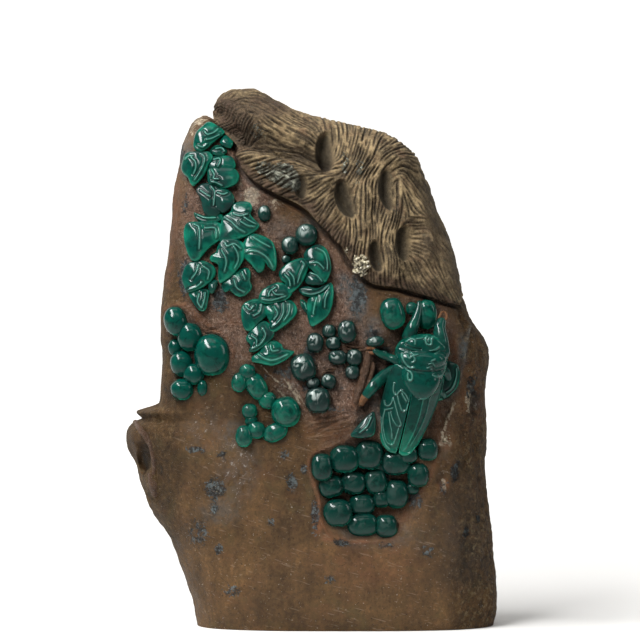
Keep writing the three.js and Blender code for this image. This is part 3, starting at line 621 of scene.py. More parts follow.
# Brown stems: a run of points, each x, z, height off the face and radius.
STEM_BALL = (24, 48)
STEMS = {
    "perch": [
        28, 139.5, -0.4, 1.6, 27, 133, -0.2, 2.2, 25.2, 126.5, -0.2, 2.3, 23.4, 120, -0.6, 2.2,
        22, 115, -1.4, 1.6],
    "perch_side": [
        30.6, 134, -1.4, 1.2, 29, 127, -1.2, 1.4, 26.6, 120, -1.2, 1.4, 24, 113.4, -1.6, 1.2],
    "coil_low": [4.8, 128.4, 0, 0.5, 7.4, 130.2, 0.3, 0.5, 10.8, 130.4, 0.1, 0.5],
    "coil_high": [5.6, 129.8, 0, 0.5, 8.2, 131.6, 0.3, 0.5, 11.6, 131.4, 0.1, 0.5],
    "twig_low": [
        16, 142.4, 0, 0.5, 19, 141.2, 0.3, 0.55, 22.6, 140.8, 0.3, 0.55, 27, 141.2, 0.4, 0.6],
    "stub_ridge": [
        -90.6, 103.5, 0.2, 1.4, -86.6, 100.6, 0.4, 1.5, -82.6, 95.6, 0.2, 1.4, -80.2, 89, 0.2, 1.3,
        -79.6, 82, 0, 1.2, -80.4, 76.6, -0.6, 1.2],
    "stub_lump": [-81, 77, -0.6, 2.2, -80, 72.6, -0.4, 2.6, -79.6, 68.4, -1.2, 2],
    "twig": [15.3, 143.9, 0, 0.5, 18, 143.2, 0.3, 0.55, 21, 142.4, 0.3, 0.55, 25.6, 142.4, 0.4, 0.6],
}

# Rusty rims left standing round two clusters of berries: height, half width, then x and z.
CLUSTER_RIMS = [
    [1.1, 1.1, -73.4, 161, -67.5, 163.2, -62.4, 161, -58, 156.4, -54.4, 152.4, -52, 150.2,
     -47.3, 149.8, -43, 147.6, -40.2, 142.9, -39.2, 137.5],
    [0.8, 1, -63.5, 164, -57.5, 159.4, -52.8, 154.4, -49, 152.4],
    [1.1, 1.3, 22.3, 99.1, 17.2, 96.1, 7.3, 91.9, 0.4, 89, -1.6, 82.9, 0.6, 75.6, 2.6, 70, 4, 64,
     4.2, 58, 7.6, 50.4, 14, 46.2, 24, 45, 36, 45.4, 42.6, 49, 44, 55.6],
    [1, 1.3, 46.8, 62, 52.6, 68, 58.4, 76, 60.8, 84, 64.6, 92],
]
# Other lines left standing, or cut (below 0), on the face: height, half width, then x and z.
FACE_LINES = [
    [0.8, 0.8, -28.5, 132.3, -18.7, 123, -9.9, 117.6, -4, 110],
    [0.7, 0.7, -26, 133.6, -16.6, 124.6, -8, 119.2, -3, 113],
    [0.8, 0.8, -14.4, 127, -10, 121, -6.2, 114],
    [0.8, 0.8, -19.2, 123.4, -13, 116.6, -8.5, 110.4],
    [1, 1.4, 71.6, 113.9, 70.5, 110.6, 68.3, 105.5, 66.1, 99.6, 64.7, 93, 63.2, 85.6],
    [0.7, 1.2, -65, 158, -62, 170, -66, 186, -67.5, 205, -66, 226],
    [-2.2, 4.2, 34, 140, 33, 131, 30.6, 121, 26, 111],
    [-1.8, 3.2, 82.6, 121, 82, 116, 81, 110],
    [0.9, 1, 79.4, 123, 78.2, 117, 78.6, 110, 80, 106],
    [-0.8, 1.4, 68, 84, 64.6, 78, 61.6, 72],
    [0.6, 1.1, 11, 172, 13.6, 164, 14.4, 157, 24, 156, 31.6, 150],
    [-0.8, 1.2, -38, 152, -39.6, 162, -44, 171],
    [-1.1, 1.1, -91, 103.5, -86.5, 101, -81.5, 94, -79.5, 85, -78.5, 76],
    [-0.9, 1, -88, 93, -83, 92, -81, 86],
    [-0.8, 1, -84, 66, -80, 64.4, -77, 68],
    [-0.7, 1, -78, 112, -76, 104, -72, 98],
    [-0.5, 0.9, 62, 76, 72, 64, 80, 60],
    [-0.6, 0.9, 74, 104, 79, 92, 77, 80],
]
# Pale edges of thin stone on the face: height, half width, then x and z.
RIMS = [
    [1.5, 0.9, 79.7, 152.5, 78.3, 145.6, 76.4, 137, 75.2, 129, 73.6, 121.6, 69, 116.4, 63.5, 114.8],
]
# Pale lines along broken edges: strength, half width, then x and z.
PALE_LINES = [
    [1.3, 1.3, 71.6, 113.9, 70.5, 110.6, 68.3, 105.5, 66.1, 99.6, 64.7, 93],
    [1.2, 1, 79, 122, 78, 117, 78.4, 110],
    [1, 0.8, 83.6, 120, 82, 115, 83, 111],
    [0.9, 1.6, 66, 76, 66.6, 71],
    [1.3, 0.9, -14.4, 127, -10, 121, -6.2, 114],
    [1.3, 0.9, -19.2, 123.4, -13, 116.6, -8.5, 110.4],
    [1.1, 0.8, -10.9, 124.6, -7.6, 120.4, -5, 116.4],
    [0.9, 0.8, -26, 133.6, -16.6, 124.6, -8, 119.2, -3, 113],
]
# Lumps of the gnarled stub at the left: x, z, half width, half height, and how far they stand out.
KNOTS = [
    [-82, 75, 5, 8, 1.8],
    [-90, 96, 4, 7, 1],
    [-79, 90, 3, 12, 0.8],
]
# Ground that the carver left rough between the leaves and berries: x, z, half width, half height,
# strength.
CARVED_GROUND = [
    [-42, 205, 31, 58, 1],
    [-10, 168, 45, 46, 1],
    [14, 130, 42, 34, 1],
    [-46, 150, 30, 26, 0.8],
    [30, 78, 34, 36, 0.6],
    [54, 130, 26, 50, 0.8],
]
# Wood-like waves above the lower berries: x, z, half width, half height, strength.
WAVES = [9, 102, 17, 11, 1]
WAVE_LENGTH = 3.6
WAVE_HEIGHT = 0.5
WAVE_SLANT = 0.22

# Grey, rusty, pale and dark patches of the face: x, z, half width, half height, strength.
GREY_PATCHES = [
    [22, 166, 8, 17, 0.9],
    [16.5, 173, 8, 9, 1],
    [-61, 178, 6, 12, 0.7],
    [-64, 238, 5, 14, 0.7],
    [-47, 168, 6, 8, 0.8],
    [30, 150, 8, 12, 0.6],
    [34, 112, 7, 14, 0.6],
    [-30, 148, 26, 9, 0.3],
    [-16, 202, 10, 9, 0.35],
    [62, 150, 12, 9, 0.4],
    [76, 141, 4, 11, 1],
    [-40, 100, 10, 8, 0.35],
    [78, 50, 18, 40, 0.12],
    [-46, 60, 16, 10, 0.3],
    [2, 205, 12, 5, 0.5],
    [10, 128, 15, 16, 0.35],
    [68, 128, 9, 18, 0.4],
    [30, 48, 30, 9, 0.35],
]
RUST_PATCHES = [
    [44, 148, 5, 6, 0.8],
    [-70, 215, 5, 34, 0.7],
    [-72, 185, 4, 20, 0.6],
    [9, 102, 18, 12, 0.5],
    [52, 98, 8, 14, 0.5],
    [80, 118, 10, 26, 0.45],
    [71, 140, 4, 14, 0.8],
    [67, 95, 6, 7, 1],
    [66, 73, 4, 6, 0.9],
    [-8, 214, 9, 5, 0.4],
    [33, 60, 6, 5, 0.5],
    [62, 104, 5, 16, 0.6],
    [-35, 152, 14, 12, 0.35],
    [30, 34, 40, 18, 0.3],
    [3, 56, 4, 13, 0.8],
    [10, 47, 9, 3, 0.8],
    [26, 45.6, 12, 2.4, 0.8],
    [44, 58, 7, 5, 0.8],
    [49, 70, 7, 9, 0.8],
    [36, 62, 9, 5, 0.8],
    [-6, 128, 8, 6, 0.5],
    [22, 118, 6, 10, 0.6],
]
PALE_PATCHES = [
    [-30.5, 218.5, 6.5, 8.5, 0.95],
    [-37, 226, 3, 6, 0.8],
    [-58, 258, 7, 6, 0.6],
    [-60.5, 252, 4, 6, 0.5],
    [-19, 214, 7, 5, 0.5],
    [10, 205.5, 9, 3, 0.4],
    [67.5, 95, 5, 5, 0.75],
    [66.4, 73, 2.6, 4, 0.7],
    [-66, 196, 3, 8, 0.4],
    [64, 166, 10, 2.5, 0.5],
]
# Several dark patches lie in the face's hollows and cut valleys, where they paint shade.
DARK_PATCHES = [
    [-84, 86, 4, 10, 0.9],
    [46, 146, 12, 9, 0.7],
    [36, 134, 7, 12, 0.6],
    [60, 108, 4, 12, 0.6],
    [70, 40, 26, 34, 0.3],
    [33, 130, 5, 15, 1],
    [29, 116, 5, 8, 0.8],
    [26, 111, 6, 13, 0.85],
    [22, 96, 9, 4, 0.6],
    [82, 116, 3.4, 8, 0.8],
    [64, 77, 3, 6, 0.7],
    [40, 118, 9, 16, 0.75],
    [47, 94, 10, 9, 0.7],
    [30, 70, 25, 21, 0.12],
    [-61, 138, 12, 18, 0.5],
    [80, 108, 4, 12, 0.5],
    [74, 84, 4, 7, 0.5],
    [-8, 150, 6, 5, 0.4],
]
# Blue-black stains with ragged edges: x, z, half width, half height, strength.
STAINS = [
    [-58, 91, 9, 2.6, 0.8],
    [-45, 88.5, 4, 4, 0.8],
    [-14.4, 89, 5, 5, 0.8],
    [-48.5, 71.5, 8, 9, 1],
    [-49, 61.5, 3.4, 6, 0.9],
    [-10.5, 75, 5, 9, 0.9],
    [-4, 81.5, 3, 4, 0.8],
    [-57, 48.5, 9, 11, 0.7],
    [-46.5, 41, 4, 5, 0.8],
    [-20.5, 55, 3, 4, 0.8],
    [1.5, 58, 3.6, 14, 0.9],
    [14.6, 44.6, 7, 3.4, 0.9],
    [36.6, 43.4, 6, 3, 0.8],
    [52, 66, 5, 8, 0.9],
    [72, 80, 4, 9, 1],
    [66, 72, 4, 6, 0.8],
    [-14, 130, 9, 5, 0.8],
    [-63, 176, 6, 16, 0.9],
    [-46, 166, 7, 11, 0.95],
    [23, 168, 7, 17, 0.95],
    [-33, 206, 4, 5, 0.7],
    [-66, 240, 3, 12, 0.7],
    [30, 148, 5, 8, 0.7],
    [36, 140, 8, 5, 0.9],
    [-64, 214, 3, 10, 0.6],
    [-28, 128, 10, 3, 0.7],
    [58, 40, 5, 6, 0.7],
    [8, 26, 6, 4, 0.7],
    [-40, 20, 7, 5, 0.7],
    [80, 122, 5, 10, 0.8],
    [84, 55.5, 3, 5, 0.8],
    [77.4, 49, 3.4, 5, 0.8],
    [-1, 137, 5, 12, 0.9],
    [-3, 122, 6, 4, 0.8],
    [10, 112, 9, 3, 0.7],
    [32, 73, 21, 15, 0.6],
]
# Ground with chalky specks and scratches: x, z, half width, half height, strength.
CHALK = [
    [-37, 84, 15, 24, 1],
    [-54, 100, 15, 14, 0.7],
    [-12, 124, 9, 9, 1],
    [-62, 250, 7, 16, 0.8],
    [-31, 219, 9, 11, 1],
    [-58, 190, 5, 14, 0.5],
    [66, 92, 5, 12, 0.8],
    [82, 115, 4, 8, 1],
    [-75, 200, 5, 44, 0.6],
    [46, 50, 20, 16, 0.35],
    [-20, 168, 14, 8, 0.5],
]
# Grey-green mineral on the crown: x, z, half width, half height, strength.
MINERAL_PATCHES = [
    [-15.2, 225.2, 12, 12, 1],
    [-24, 232, 7, 5, 0.7],
    [-28, 252, 5, 4, 0.45],
    [24, 233, 3, 6, 0.5],
    [16.5, 236, 3, 8, 0.5],
]

# Crusts of crystals: x, z, half width, half height, how many, largest size, and whether on the crown.
CRUSTS = [
    [24.2, 183.4, 4.4, 5.2, 34, 3.3, True],
    [17.6, 191.2, 2.4, 1.6, 12, 0.8, True],
    [23.4, 225.4, 2.8, 2, 16, 0.7, True],
    [-30.4, 170.4, 1.8, 1.5, 9, 0.8, False],
    [67.2, 95.6, 3.2, 3.4, 22, 0.8, False],
    [-48, 70, 2.4, 3, 7, 0.6, False],
]

# The stage, in metres. Soft boxes: name, start, end, width, and power in watts.
STRIPS = [
    ["key_strip", (-0.65, 0.07, 1.26), (-0.37, -1.1, 0.78), 0.2, 27],
    ["soft_top", (-0.5, -0.2, 1.5), (0.3, -0.2, 1.5), 0.6, 2.5],
    ["front_fill", (-0.1, -1.45, 1.35), (0.7, -1.45, 1.35), 0.35, 1.9],
    ["right_rim", (1.1, -0.3, 1.2), (1.1, -0.3, 0.3), 0.25, 2.8],
]
LIT_PLACE = (0, -0.04, 0.14)
STUDIO_LIGHT = 0.13
CAMERA_PLACE = (0.004, -1.553, 0.156)
# Lens and sensor in millimetres.
CAMERA_LENS = 170
CAMERA_SENSOR = 36
# The floor's half width, and its profile from the front to the top of the backdrop as y and z.
FLOOR_HALF = 6
BACKDROP = [(-6, 0), (2.4, 0), (3.0, 0.06), (3.5, 0.26), (3.8, 0.65), (3.9, 1.2), (3.9, 6)]


class CarvingSizes(bpy.types.PropertyGroup):
    """Sizes of the carving's finer work."""

    groove_depth: bpy.props.FloatProperty(
        name="Groove depth", description="Depth of the crown's grooves",
        default=1.35 * MM, unit="LENGTH")
    groove_spacing: bpy.props.FloatProperty(
        name="Groove spacing", description="Least distance between two grooves",
        default=1.2 * MM, unit="LENGTH")
    groove_width: bpy.props.FloatProperty(
        name="Groove width", description="Half width of a groove",
        default=0.78 * MM, unit="LENGTH")
    skin_roughness: bpy.props.FloatProperty(
        name="Skin roughness", description="Height of the boulder's slow bumps",
        default=1.2 * MM, unit="LENGTH")
    ridge_height: bpy.props.FloatProperty(
        name="Ridge height", description="Height of the ridges on the leaves",
        default=RIDGE_HEIGHT * MM, unit="LENGTH")
    vein_height: bpy.props.FloatProperty(
        name="Vein height", description="Height of the veins on the wings",
        default=VEIN_HEIGHT * MM, unit="LENGTH")


class CarvingColours(bpy.types.PropertyGroup):
    """Colours of the carving's stone."""

    brown: bpy.props.FloatVectorProperty(
        name="Brown skin", description="Rubbed skin of the boulder",
        default=(0.122, 0.066, 0.025), subtype="COLOR", size=3)
    bark: bpy.props.FloatVectorProperty(
        name="Bark", description="Ridges between the crown's grooves",
        default=(0.320, 0.232, 0.122), subtype="COLOR", size=3)
    green: bpy.props.FloatVectorProperty(
        name="Green stone", description="Deep green of the polished stone",
        default=(0.0006, 0.046, 0.034), subtype="COLOR", size=3)
    # Also the colour of the painted light that glows through rims facing down and to the right.
    edge: bpy.props.FloatVectorProperty(
        name="Green edge", description="Lighter green of thin edges",
        default=(0.008, 0.200, 0.120), subtype="COLOR", size=3)
    smoke: bpy.props.FloatVectorProperty(
        name="Grey-green", description="Smoky parts of the polished stone",
        default=(0.013, 0.030, 0.027), subtype="COLOR", size=3)
    crystal: bpy.props.FloatVectorProperty(
        name="Crystal", description="Crusts of small crystals",
        default=(0.46, 0.40, 0.27), subtype="COLOR", size=3)


def smooth(t):
    """0 below 0, 1 above 1, and a smooth rise between."""
    t = np.clip(t, 0, 1)
    return t * t * (3 - 2 * t)


def reading(rows, at, column):
    """Reads one column of a table at positions in its first column, smoothly and without overshoot."""
    table = np.array(rows, float)
    marks = table[:, 0]
    values = table[:, column]
    slopes = np.diff(values) / np.diff(marks)
    product = slopes[:-1] * slopes[1:]
    both = np.where(product > 0, slopes[:-1] + slopes[1:], 1)
    inner = np.where(product > 0, 2 * product / both, 0)
    tangents = np.concatenate(([slopes[0]], inner, [slopes[-1]]))
    here = np.clip(at, marks[0], marks[-1])
    i = np.clip(np.searchsorted(marks, here) - 1, 0, len(marks) - 2)
    span = marks[i + 1] - marks[i]
    t = (here - marks[i]) / span
    rise = t * t * (3 - 2 * t)
    bend = span * t * (1 - t) * ((1 - t) * tangents[i] - t * tangents[i + 1])
    return values[i] * (1 - rise) + values[i + 1] * rise + bend


def swell(x, y, z):
    """Slow swells of the stone's skin."""
    broad = np.sin(0.115 * x + 0.07 * z) * np.sin(0.09 * z - 0.05 * y + 1)
    return broad + 0.6 * np.sin(0.23 * x - 0.16 * z + 0.1 * y) * np.sin(0.19 * z + 0.12 * x + 2)


def patches(rows, x, z, floor=0.3):
    """How far each place lies inside soft-edged ovals, times the strength in each row's last column."""
    best = np.zeros(np.shape(x))
    for middle_x, middle_z, half_wide, half_high, strength in rows:
        away = np.hypot((x - middle_x) / half_wide, (z - middle_z) / half_high)
        best = np.maximum(best, strength * (1 - smooth((away - floor) / (1 - floor))))
    return best


def pairs(row):
    """A row of numbers, two by two."""
    return np.array(row, float).reshape(-1, 2)


def fours(row):
    """A row of numbers, four by four."""
    return np.array(row, float).reshape(-1, 4)


def tilt(degrees):
    """The cosine and sine of a lean."""
    return math.cos(math.radians(degrees)), math.sin(math.radians(degrees))


def smooth_line(points, closed=False, steps=6):
    """A smooth line through the points, as more points."""
    if closed:
        padded = np.vstack([points[-1], points, points[0], points[1]])
    else:
        padded = np.vstack([2 * points[0] - points[1], points, 2 * points[-1] - points[-2]])
    t = (np.arange(steps) / steps)[:, None]
    runs = []
    for a, b, c, d in zip(padded, padded[1:], padded[2:], padded[3:]):
        cubic = (3 * (b - c) + d - a) * t ** 3 + (2 * a - 5 * b + 4 * c - d) * t ** 2 + (c - a) * t
        runs.append(b + cubic / 2)
    if not closed:
        runs.append(points[-1:])
    return np.vstack(runs)


def lengths_of(line):
    """How far along a line each of its points lies."""
    return np.concatenate([[0], np.cumsum(np.linalg.norm(np.diff(line, axis=0), axis=1))])


def nearness(u, v, row, reach):
    """Distance from each place to a drawn line, in shares of the reach, and 1 beyond it. A reach in
    whole millimetres gives whole millimetres of distance, which makes a stepped line."""
    line = smooth_line(pairs(row))
    low = line.min(0) - reach
    high = line.max(0) + reach
    near = np.nonzero((u > low[0]) & (u < high[0]) & (v > low[1]) & (v < high[1]))[0]
    away = np.full(u.shape, reach)
    at = np.stack([u[near], v[near]], 1)
    best = np.full(len(near), reach * 1.0)
    for start, end in zip(line, line[1:]):
        way = end - start
        share = np.clip((at - start) @ way / max(way @ way, 1e-9), 0, 1)
        gap = np.hypot(*(at - start - share[:, None] * way).T)
        best = np.minimum(best, gap)
    away[near] = best
    return away / reach


def carve(u, v, rows):
    """Height of drawn grooves and ridges, each row with its height, half width and points."""
    height = np.zeros(u.shape)
    for row in rows:
        height = height + row[0] * (1 - smooth(nearness(u, v, row[2:], row[1])))
    return height


def wander(points, size, seed):
    """Smooth noise, about -1 to 1, with lumps about a size apart."""
    shift = Vector((seed * 7.3, seed * 3.1, seed * 1.7))
    return np.array([noise.noise(Vector(p) + shift) for p in (points / size).tolist()])


def lumps(places, rows):
    """Lumps of several sizes laid over each other."""
    return sum(high * wander(places * [1, 1, share], size, seed) for high, size, share, seed in rows)


def section(z):
    """The boulder's section at each height."""
    left, right, front, back, squareness = (reading(BOULDER, z, c) for c in range(1, 6))
    return (left + right) / 2, (right - left) / 2, front, back, squareness


def front_of(front, depth, x, z):
    """The y of the carved face where the section has a given share of its depth."""
    return MID_PLANE - front * depth + patches(FACE_HOLLOWS, x, z, FACE_FLOOR) * smooth(2 * depth)


def face_at(x, z):
    """The y of the carved face at places on it."""
    x = np.asarray(x, float)
    z = np.asarray(z, float)
    middle, half, front, _, squareness = section(z)
    across = np.clip((x - middle) / half, -1, 1)
    power = np.where(across < 0, squareness, RIGHT_SQUARENESS)
    depth = (1 - np.abs(across) ** power) ** (1 / power)
    return front_of(front, depth, x, z)


def moved(mesh, places):
    """Moves a mesh's points to new places in millimetres."""
    mesh.vertices.foreach_set("co", (places * MM).astype(np.float32).ravel())
    mesh.update()


class Ball:
    """A unit ball that is copied and reshaped. Each of its points has its turn from the front, its
    fall from the top pole as a share, and whether it is a pole."""

    def __init__(self, around, down):
        made = bmesh.new()
        bmesh.ops.create_uvsphere(made, u_segments=around, v_segments=down, radius=1.0)
        self.mesh = bpy.data.meshes.new("ball")
        made.to_mesh(self.mesh)
        made.free()
        places = np.empty(3 * len(self.mesh.vertices), np.float32)
        self.mesh.vertices.foreach_get("co", places)
        self.unit = places.reshape(-1, 3).astype(float)
        x, y, z = self.unit.T
        self.turn = np.arctan2(x, -y)
        self.fall = np.arccos(np.clip(z, -1, 1)) / math.pi
        self.pole = np.hypot(x, y) < 1e-5
        self.turn[self.pole] = 0

    def placed(self, places):
        """A copy with its points at new places in millimetres and its faces turned outwards, and the
        outward directions at its points."""
        copy = self.mesh.copy()
        moved(copy, places)
        made = bmesh.new()
        made.from_mesh(copy)
        bmesh.ops.recalc_face_normals(made, faces=made.faces[:])
        made.to_mesh(copy)
        made.free()
        copy.update()
        ways = np.empty(3 * len(copy.vertices), np.float32)
        copy.vertex_normals.foreach_get("vector", ways)
        return copy, ways.reshape(-1, 3).astype(float)

    def remove(self):
        bpy.data.meshes.remove(self.mesh)


def stand_in(name, mesh, finish):
    """Links a finished piece. It rides with the carving and stands for its solid."""
    mesh.materials.append(finish)
    piece = bpy.data.objects.new(name, mesh)
    bpy.context.scene.collection.objects.link(piece)
    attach(piece, "root")
    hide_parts(SOLID)


class Gathering:
    """Shaped balls gathered into one piece, with their painted attributes."""

    def __init__(self):
        self.made = bmesh.new()
        self.paint = {}
        self.count = 0

    def add(self, mesh, **paint):
        """Takes up a mesh with its paint, a number or one for each point."""
        size = len(mesh.vertices)
        self.made.from_mesh(mesh)
        for name in {**self.paint, **paint}:
            before = self.paint.get(name, np.zeros(self.count))
            self.paint[name] = np.concatenate([before, np.broadcast_to(paint.get(name, 0.0), size)])
        self.count += size
        bpy.data.meshes.remove(mesh)

    def finish(self, name, slot, finish, crease=None):
        """Makes the piece, smooth up to a crease in degrees."""
        mesh = bpy.data.meshes.new(name)
        self.made.to_mesh(mesh)
        self.made.free()
        for attribute, values in self.paint.items():
            layer = mesh.attributes.new(attribute, "FLOAT", "POINT")
            layer.data.foreach_set("value", values.astype(np.float32))
        mesh.shade_smooth()
        if crease:
            mesh.set_sharp_from_angle(angle=math.radians(crease))
        stand_in(name, mesh, finish)


def crown_point(turn, station):
    """Places on the crown's loops. Turn runs from 0 at the outline round the front to the crack, then
    under it, and round the back to 1. Gives the places and how much each one faces front."""
    rows = [[i / (len(CROWN) - 1), *row] for i, row in enumerate(CROWN)]
    crack_x, crack_z, edge_x, edge_z = (reading(rows, station, c) for c in range(1, 5))
    _, _, front, back, _ = section(crack_z)
    rim = face_at(crack_x, crack_z) - CROWN_PROUD
    rear = MID_PLANE + (MID_PLANE - rim) * (back / front) - CROWN_BURIED
    is_front = turn <= CROWN_FRONT_SHARE
    is_back = turn >= 1 - CROWN_BACK_SHARE
    from_back = np.clip((1 - turn) / CROWN_BACK_SHARE, 0, 1)
    climb = np.where(is_front, turn / CROWN_FRONT_SHARE, from_back) * math.pi / 2
    over, out = np.clip(np.cos(climb), 0, 1), np.clip(np.sin(climb), 0, 1)
    round_ = (over ** CROWN_SQUARENESS + out ** CROWN_SQUARENESS) ** (1 / CROWN_SQUARENESS)
    x = crack_x + (edge_x - crack_x) * over / round_
    z = crack_z + (edge_z - crack_z) * over / round_
    y = MID_PLANE + (np.where(is_front, rim, rear) - MID_PLANE) * out / round_
    facing = np.where(is_front, smooth(1.5 * out / round_), 0)
    y = y + swell(x, y, z) * facing
    under = np.clip((turn - CROWN_FRONT_SHARE) / (1 - CROWN_BACK_SHARE - CROWN_FRONT_SHARE), 0, 1)
    is_under = ~(is_front | is_back)
    x = np.where(is_under, crack_x, x)
    z = np.where(is_under, crack_z, z)
    y = np.where(is_under, rim + (rear - rim) * under, y)
    return np.stack([x, y, z], 1), facing


def grain_way(x, z):
    """The direction of the bark's grain, as a unit vector that has no head or tail."""
    hints = np.array(GRAIN, float)
    twice = np.radians(2 * hints[:, 2])
    gap = np.hypot(x[..., None] - hints[:, 0], z[..., None] - hints[:, 1])
    weight = 1 / (gap + GRAIN_BLUR) ** GRAIN_FADE
    angle = 0.5 * np.arctan2((weight * np.sin(twice)).sum(-1), (weight * np.cos(twice)).sum(-1))
    return np.cos(angle), np.sin(angle)


def eye_cut(x, z):
    """Depth of the crown's eye-shaped hollows, a mask of their insides, and a mask of their left sides for
    painted shade.
    """
    depth = np.zeros(x.shape)
    inside = np.zeros(x.shape)
    shade = np.zeros(x.shape)
    for middle_x, middle_z, half_wide, half_high, deep, lean in CROWN_EYES:
        cos, sin = tilt(lean)
        u = ((x - middle_x) * cos - (z - middle_z) * sin) / half_wide
        v = ((x - middle_x) * sin + (z - middle_z) * cos) / half_high
        chord = np.sqrt(np.clip(1 - v * v, 1e-6, 1))
        across = np.clip(u / chord, -1, 1)
        wall = smooth((across + 1) / EYE_WALL) ** 0.8
        floor = np.clip((1 - across) / (2 - EYE_WALL), 0, 1) ** 1.2
        cut = np.where(across < EYE_WALL - 1, wall, floor) * deep * chord ** 0.8
        depth = np.maximum(depth, np.where(np.abs(v) < 1, cut, 0))
        within = np.clip(1 - np.hypot(u, v), 0, 1)
        inside = np.maximum(inside, smooth(within * 6) * smooth((0.5 - across) * 2.4))
        shade = np.maximum(shade, smooth(within * 8) * smooth(0.85 - across))
    return depth, inside, shade


def groove_map(spacing, half_width):
    """The crown's grooves on a fine grid: strokes that follow the grain and keep their distance."""
    chance = random.Random(11)
    low = np.array(GRAIN_LOW, float)
    size = ((np.array(GRAIN_HIGH) - low) / GRAIN_CELL).astype(int)
    cut = np.zeros(size)
    taken = np.zeros(size, bool)
    rough_x, rough_z = (low[c] + np.arange(0, size[c], GRAIN_COARSE) * GRAIN_CELL for c in range(2))
    grid_x, grid_z = np.meshgrid(rough_x, rough_z, indexing="ij")
    way_x, way_z = grain_way(grid_x, grid_z)
    blocked = eye_cut(grid_x, grid_z)[1] > 0.5
    reach = int(spacing / GRAIN_CELL)
    span = np.arange(-reach, reach + 1)
    disc_x, disc_z = np.meshgrid(span, span, indexing="ij")
    keep = np.hypot(disc_x, disc_z) * GRAIN_CELL <= spacing
    disc_x, disc_z = disc_x[keep], disc_z[keep]

    def cell(place):
        return int((place[0] - low[0]) / GRAIN_CELL), int((place[1] - low[1]) / GRAIN_CELL)

    def free(i, k):
        inside_grid = reach < i < size[0] - reach - 1 and reach < k < size[1] - reach - 1
        return inside_grid and not taken[i, k] and not blocked[i // GRAIN_COARSE, k // GRAIN_COARSE]

    def run(start, sign, length):
        way = None
        place = start
        steps = []
        for _ in range(int(length / GROOVE_STEP)):
            i, k = (c // GRAIN_COARSE for c in cell(place))
            heading = (way_x[i, k] * sign, way_z[i, k] * sign)
            if way and heading[0] * way[0] + heading[1] * way[1] < 0:
                heading = (-heading[0], -heading[1])
            way = heading
            place = (place[0] + way[0] * GROOVE_STEP, place[1] + way[1] * GROOVE_STEP)
            if not free(*cell(place)):
                break
            steps.append(place)
        return steps

    for _ in range(GROOVE_TRIES):
        start = tuple(chance.uniform(low[c] + 2, GRAIN_HIGH[c] - 2) for c in range(2))
        length = chance.uniform(*GROOVE_LENGTH)
        strength = chance.uniform(*GROOVE_STRENGTH)
        if not free(*cell(start)):
            continue
        steps = run(start, -1, length / 2)[::-1] + [start] + run(start, 1, length / 2)
        if len(steps) < GROOVE_LEAST_STEPS:
            continue
        for n, place in enumerate(steps):
            i, k = cell(place)
            taper = min(n, len(steps) - 1 - n) / GROOVE_TAPER_STEPS
            deep = strength * min(1.0, 0.25 + taper)
            gap = np.hypot(low[0] + (i + disc_x) * GRAIN_CELL - place[0],
                           low[1] + (k + disc_z) * GRAIN_CELL - place[1])
            spot = (i + disc_x, k + disc_z)
            cut[spot] = np.maximum(cut[spot], deep * np.clip(1 - gap / half_width, 0, 1))
        for place in steps[::2]:
            i, k = cell(place)
            taken[i + disc_x, k + disc_z] = True
    return cut


def on_grid(grid, x, z):
    """Reads a grid of the crown between its cells."""
    u = np.clip((x - GRAIN_LOW[0]) / GRAIN_CELL, 0, grid.shape[0] - 1.001)
    v = np.clip((z - GRAIN_LOW[1]) / GRAIN_CELL, 0, grid.shape[1] - 1.001)
    i, k = u.astype(int), v.astype(int)
    s, t = u - i, v - k
    near = grid[i, k] * (1 - s) + grid[i + 1, k] * s
    far = grid[i, k + 1] * (1 - s) + grid[i + 1, k + 1] * s
    return near * (1 - t) + far * t


class Value:
    """A value in a material's nodes. Sums and products of it add the Math nodes."""

    def __init__(self, finish, output):
        self.finish = finish
        self.output = output

    def math(self, operation, first, second):
        return self.finish.node("ShaderNodeMath", {"operation": operation}, {0: first, 1: second})

    def __add__(self, other):
        return self.math("ADD", self, other)

    def __sub__(self, other):
        return self.math("SUBTRACT", self, other)

    def __rsub__(self, other):
        return self.math("SUBTRACT", other, self)

    def __mul__(self, other):
        return self.math("MULTIPLY", self, other)

    __radd__ = __add__
    __rmul__ = __mul__


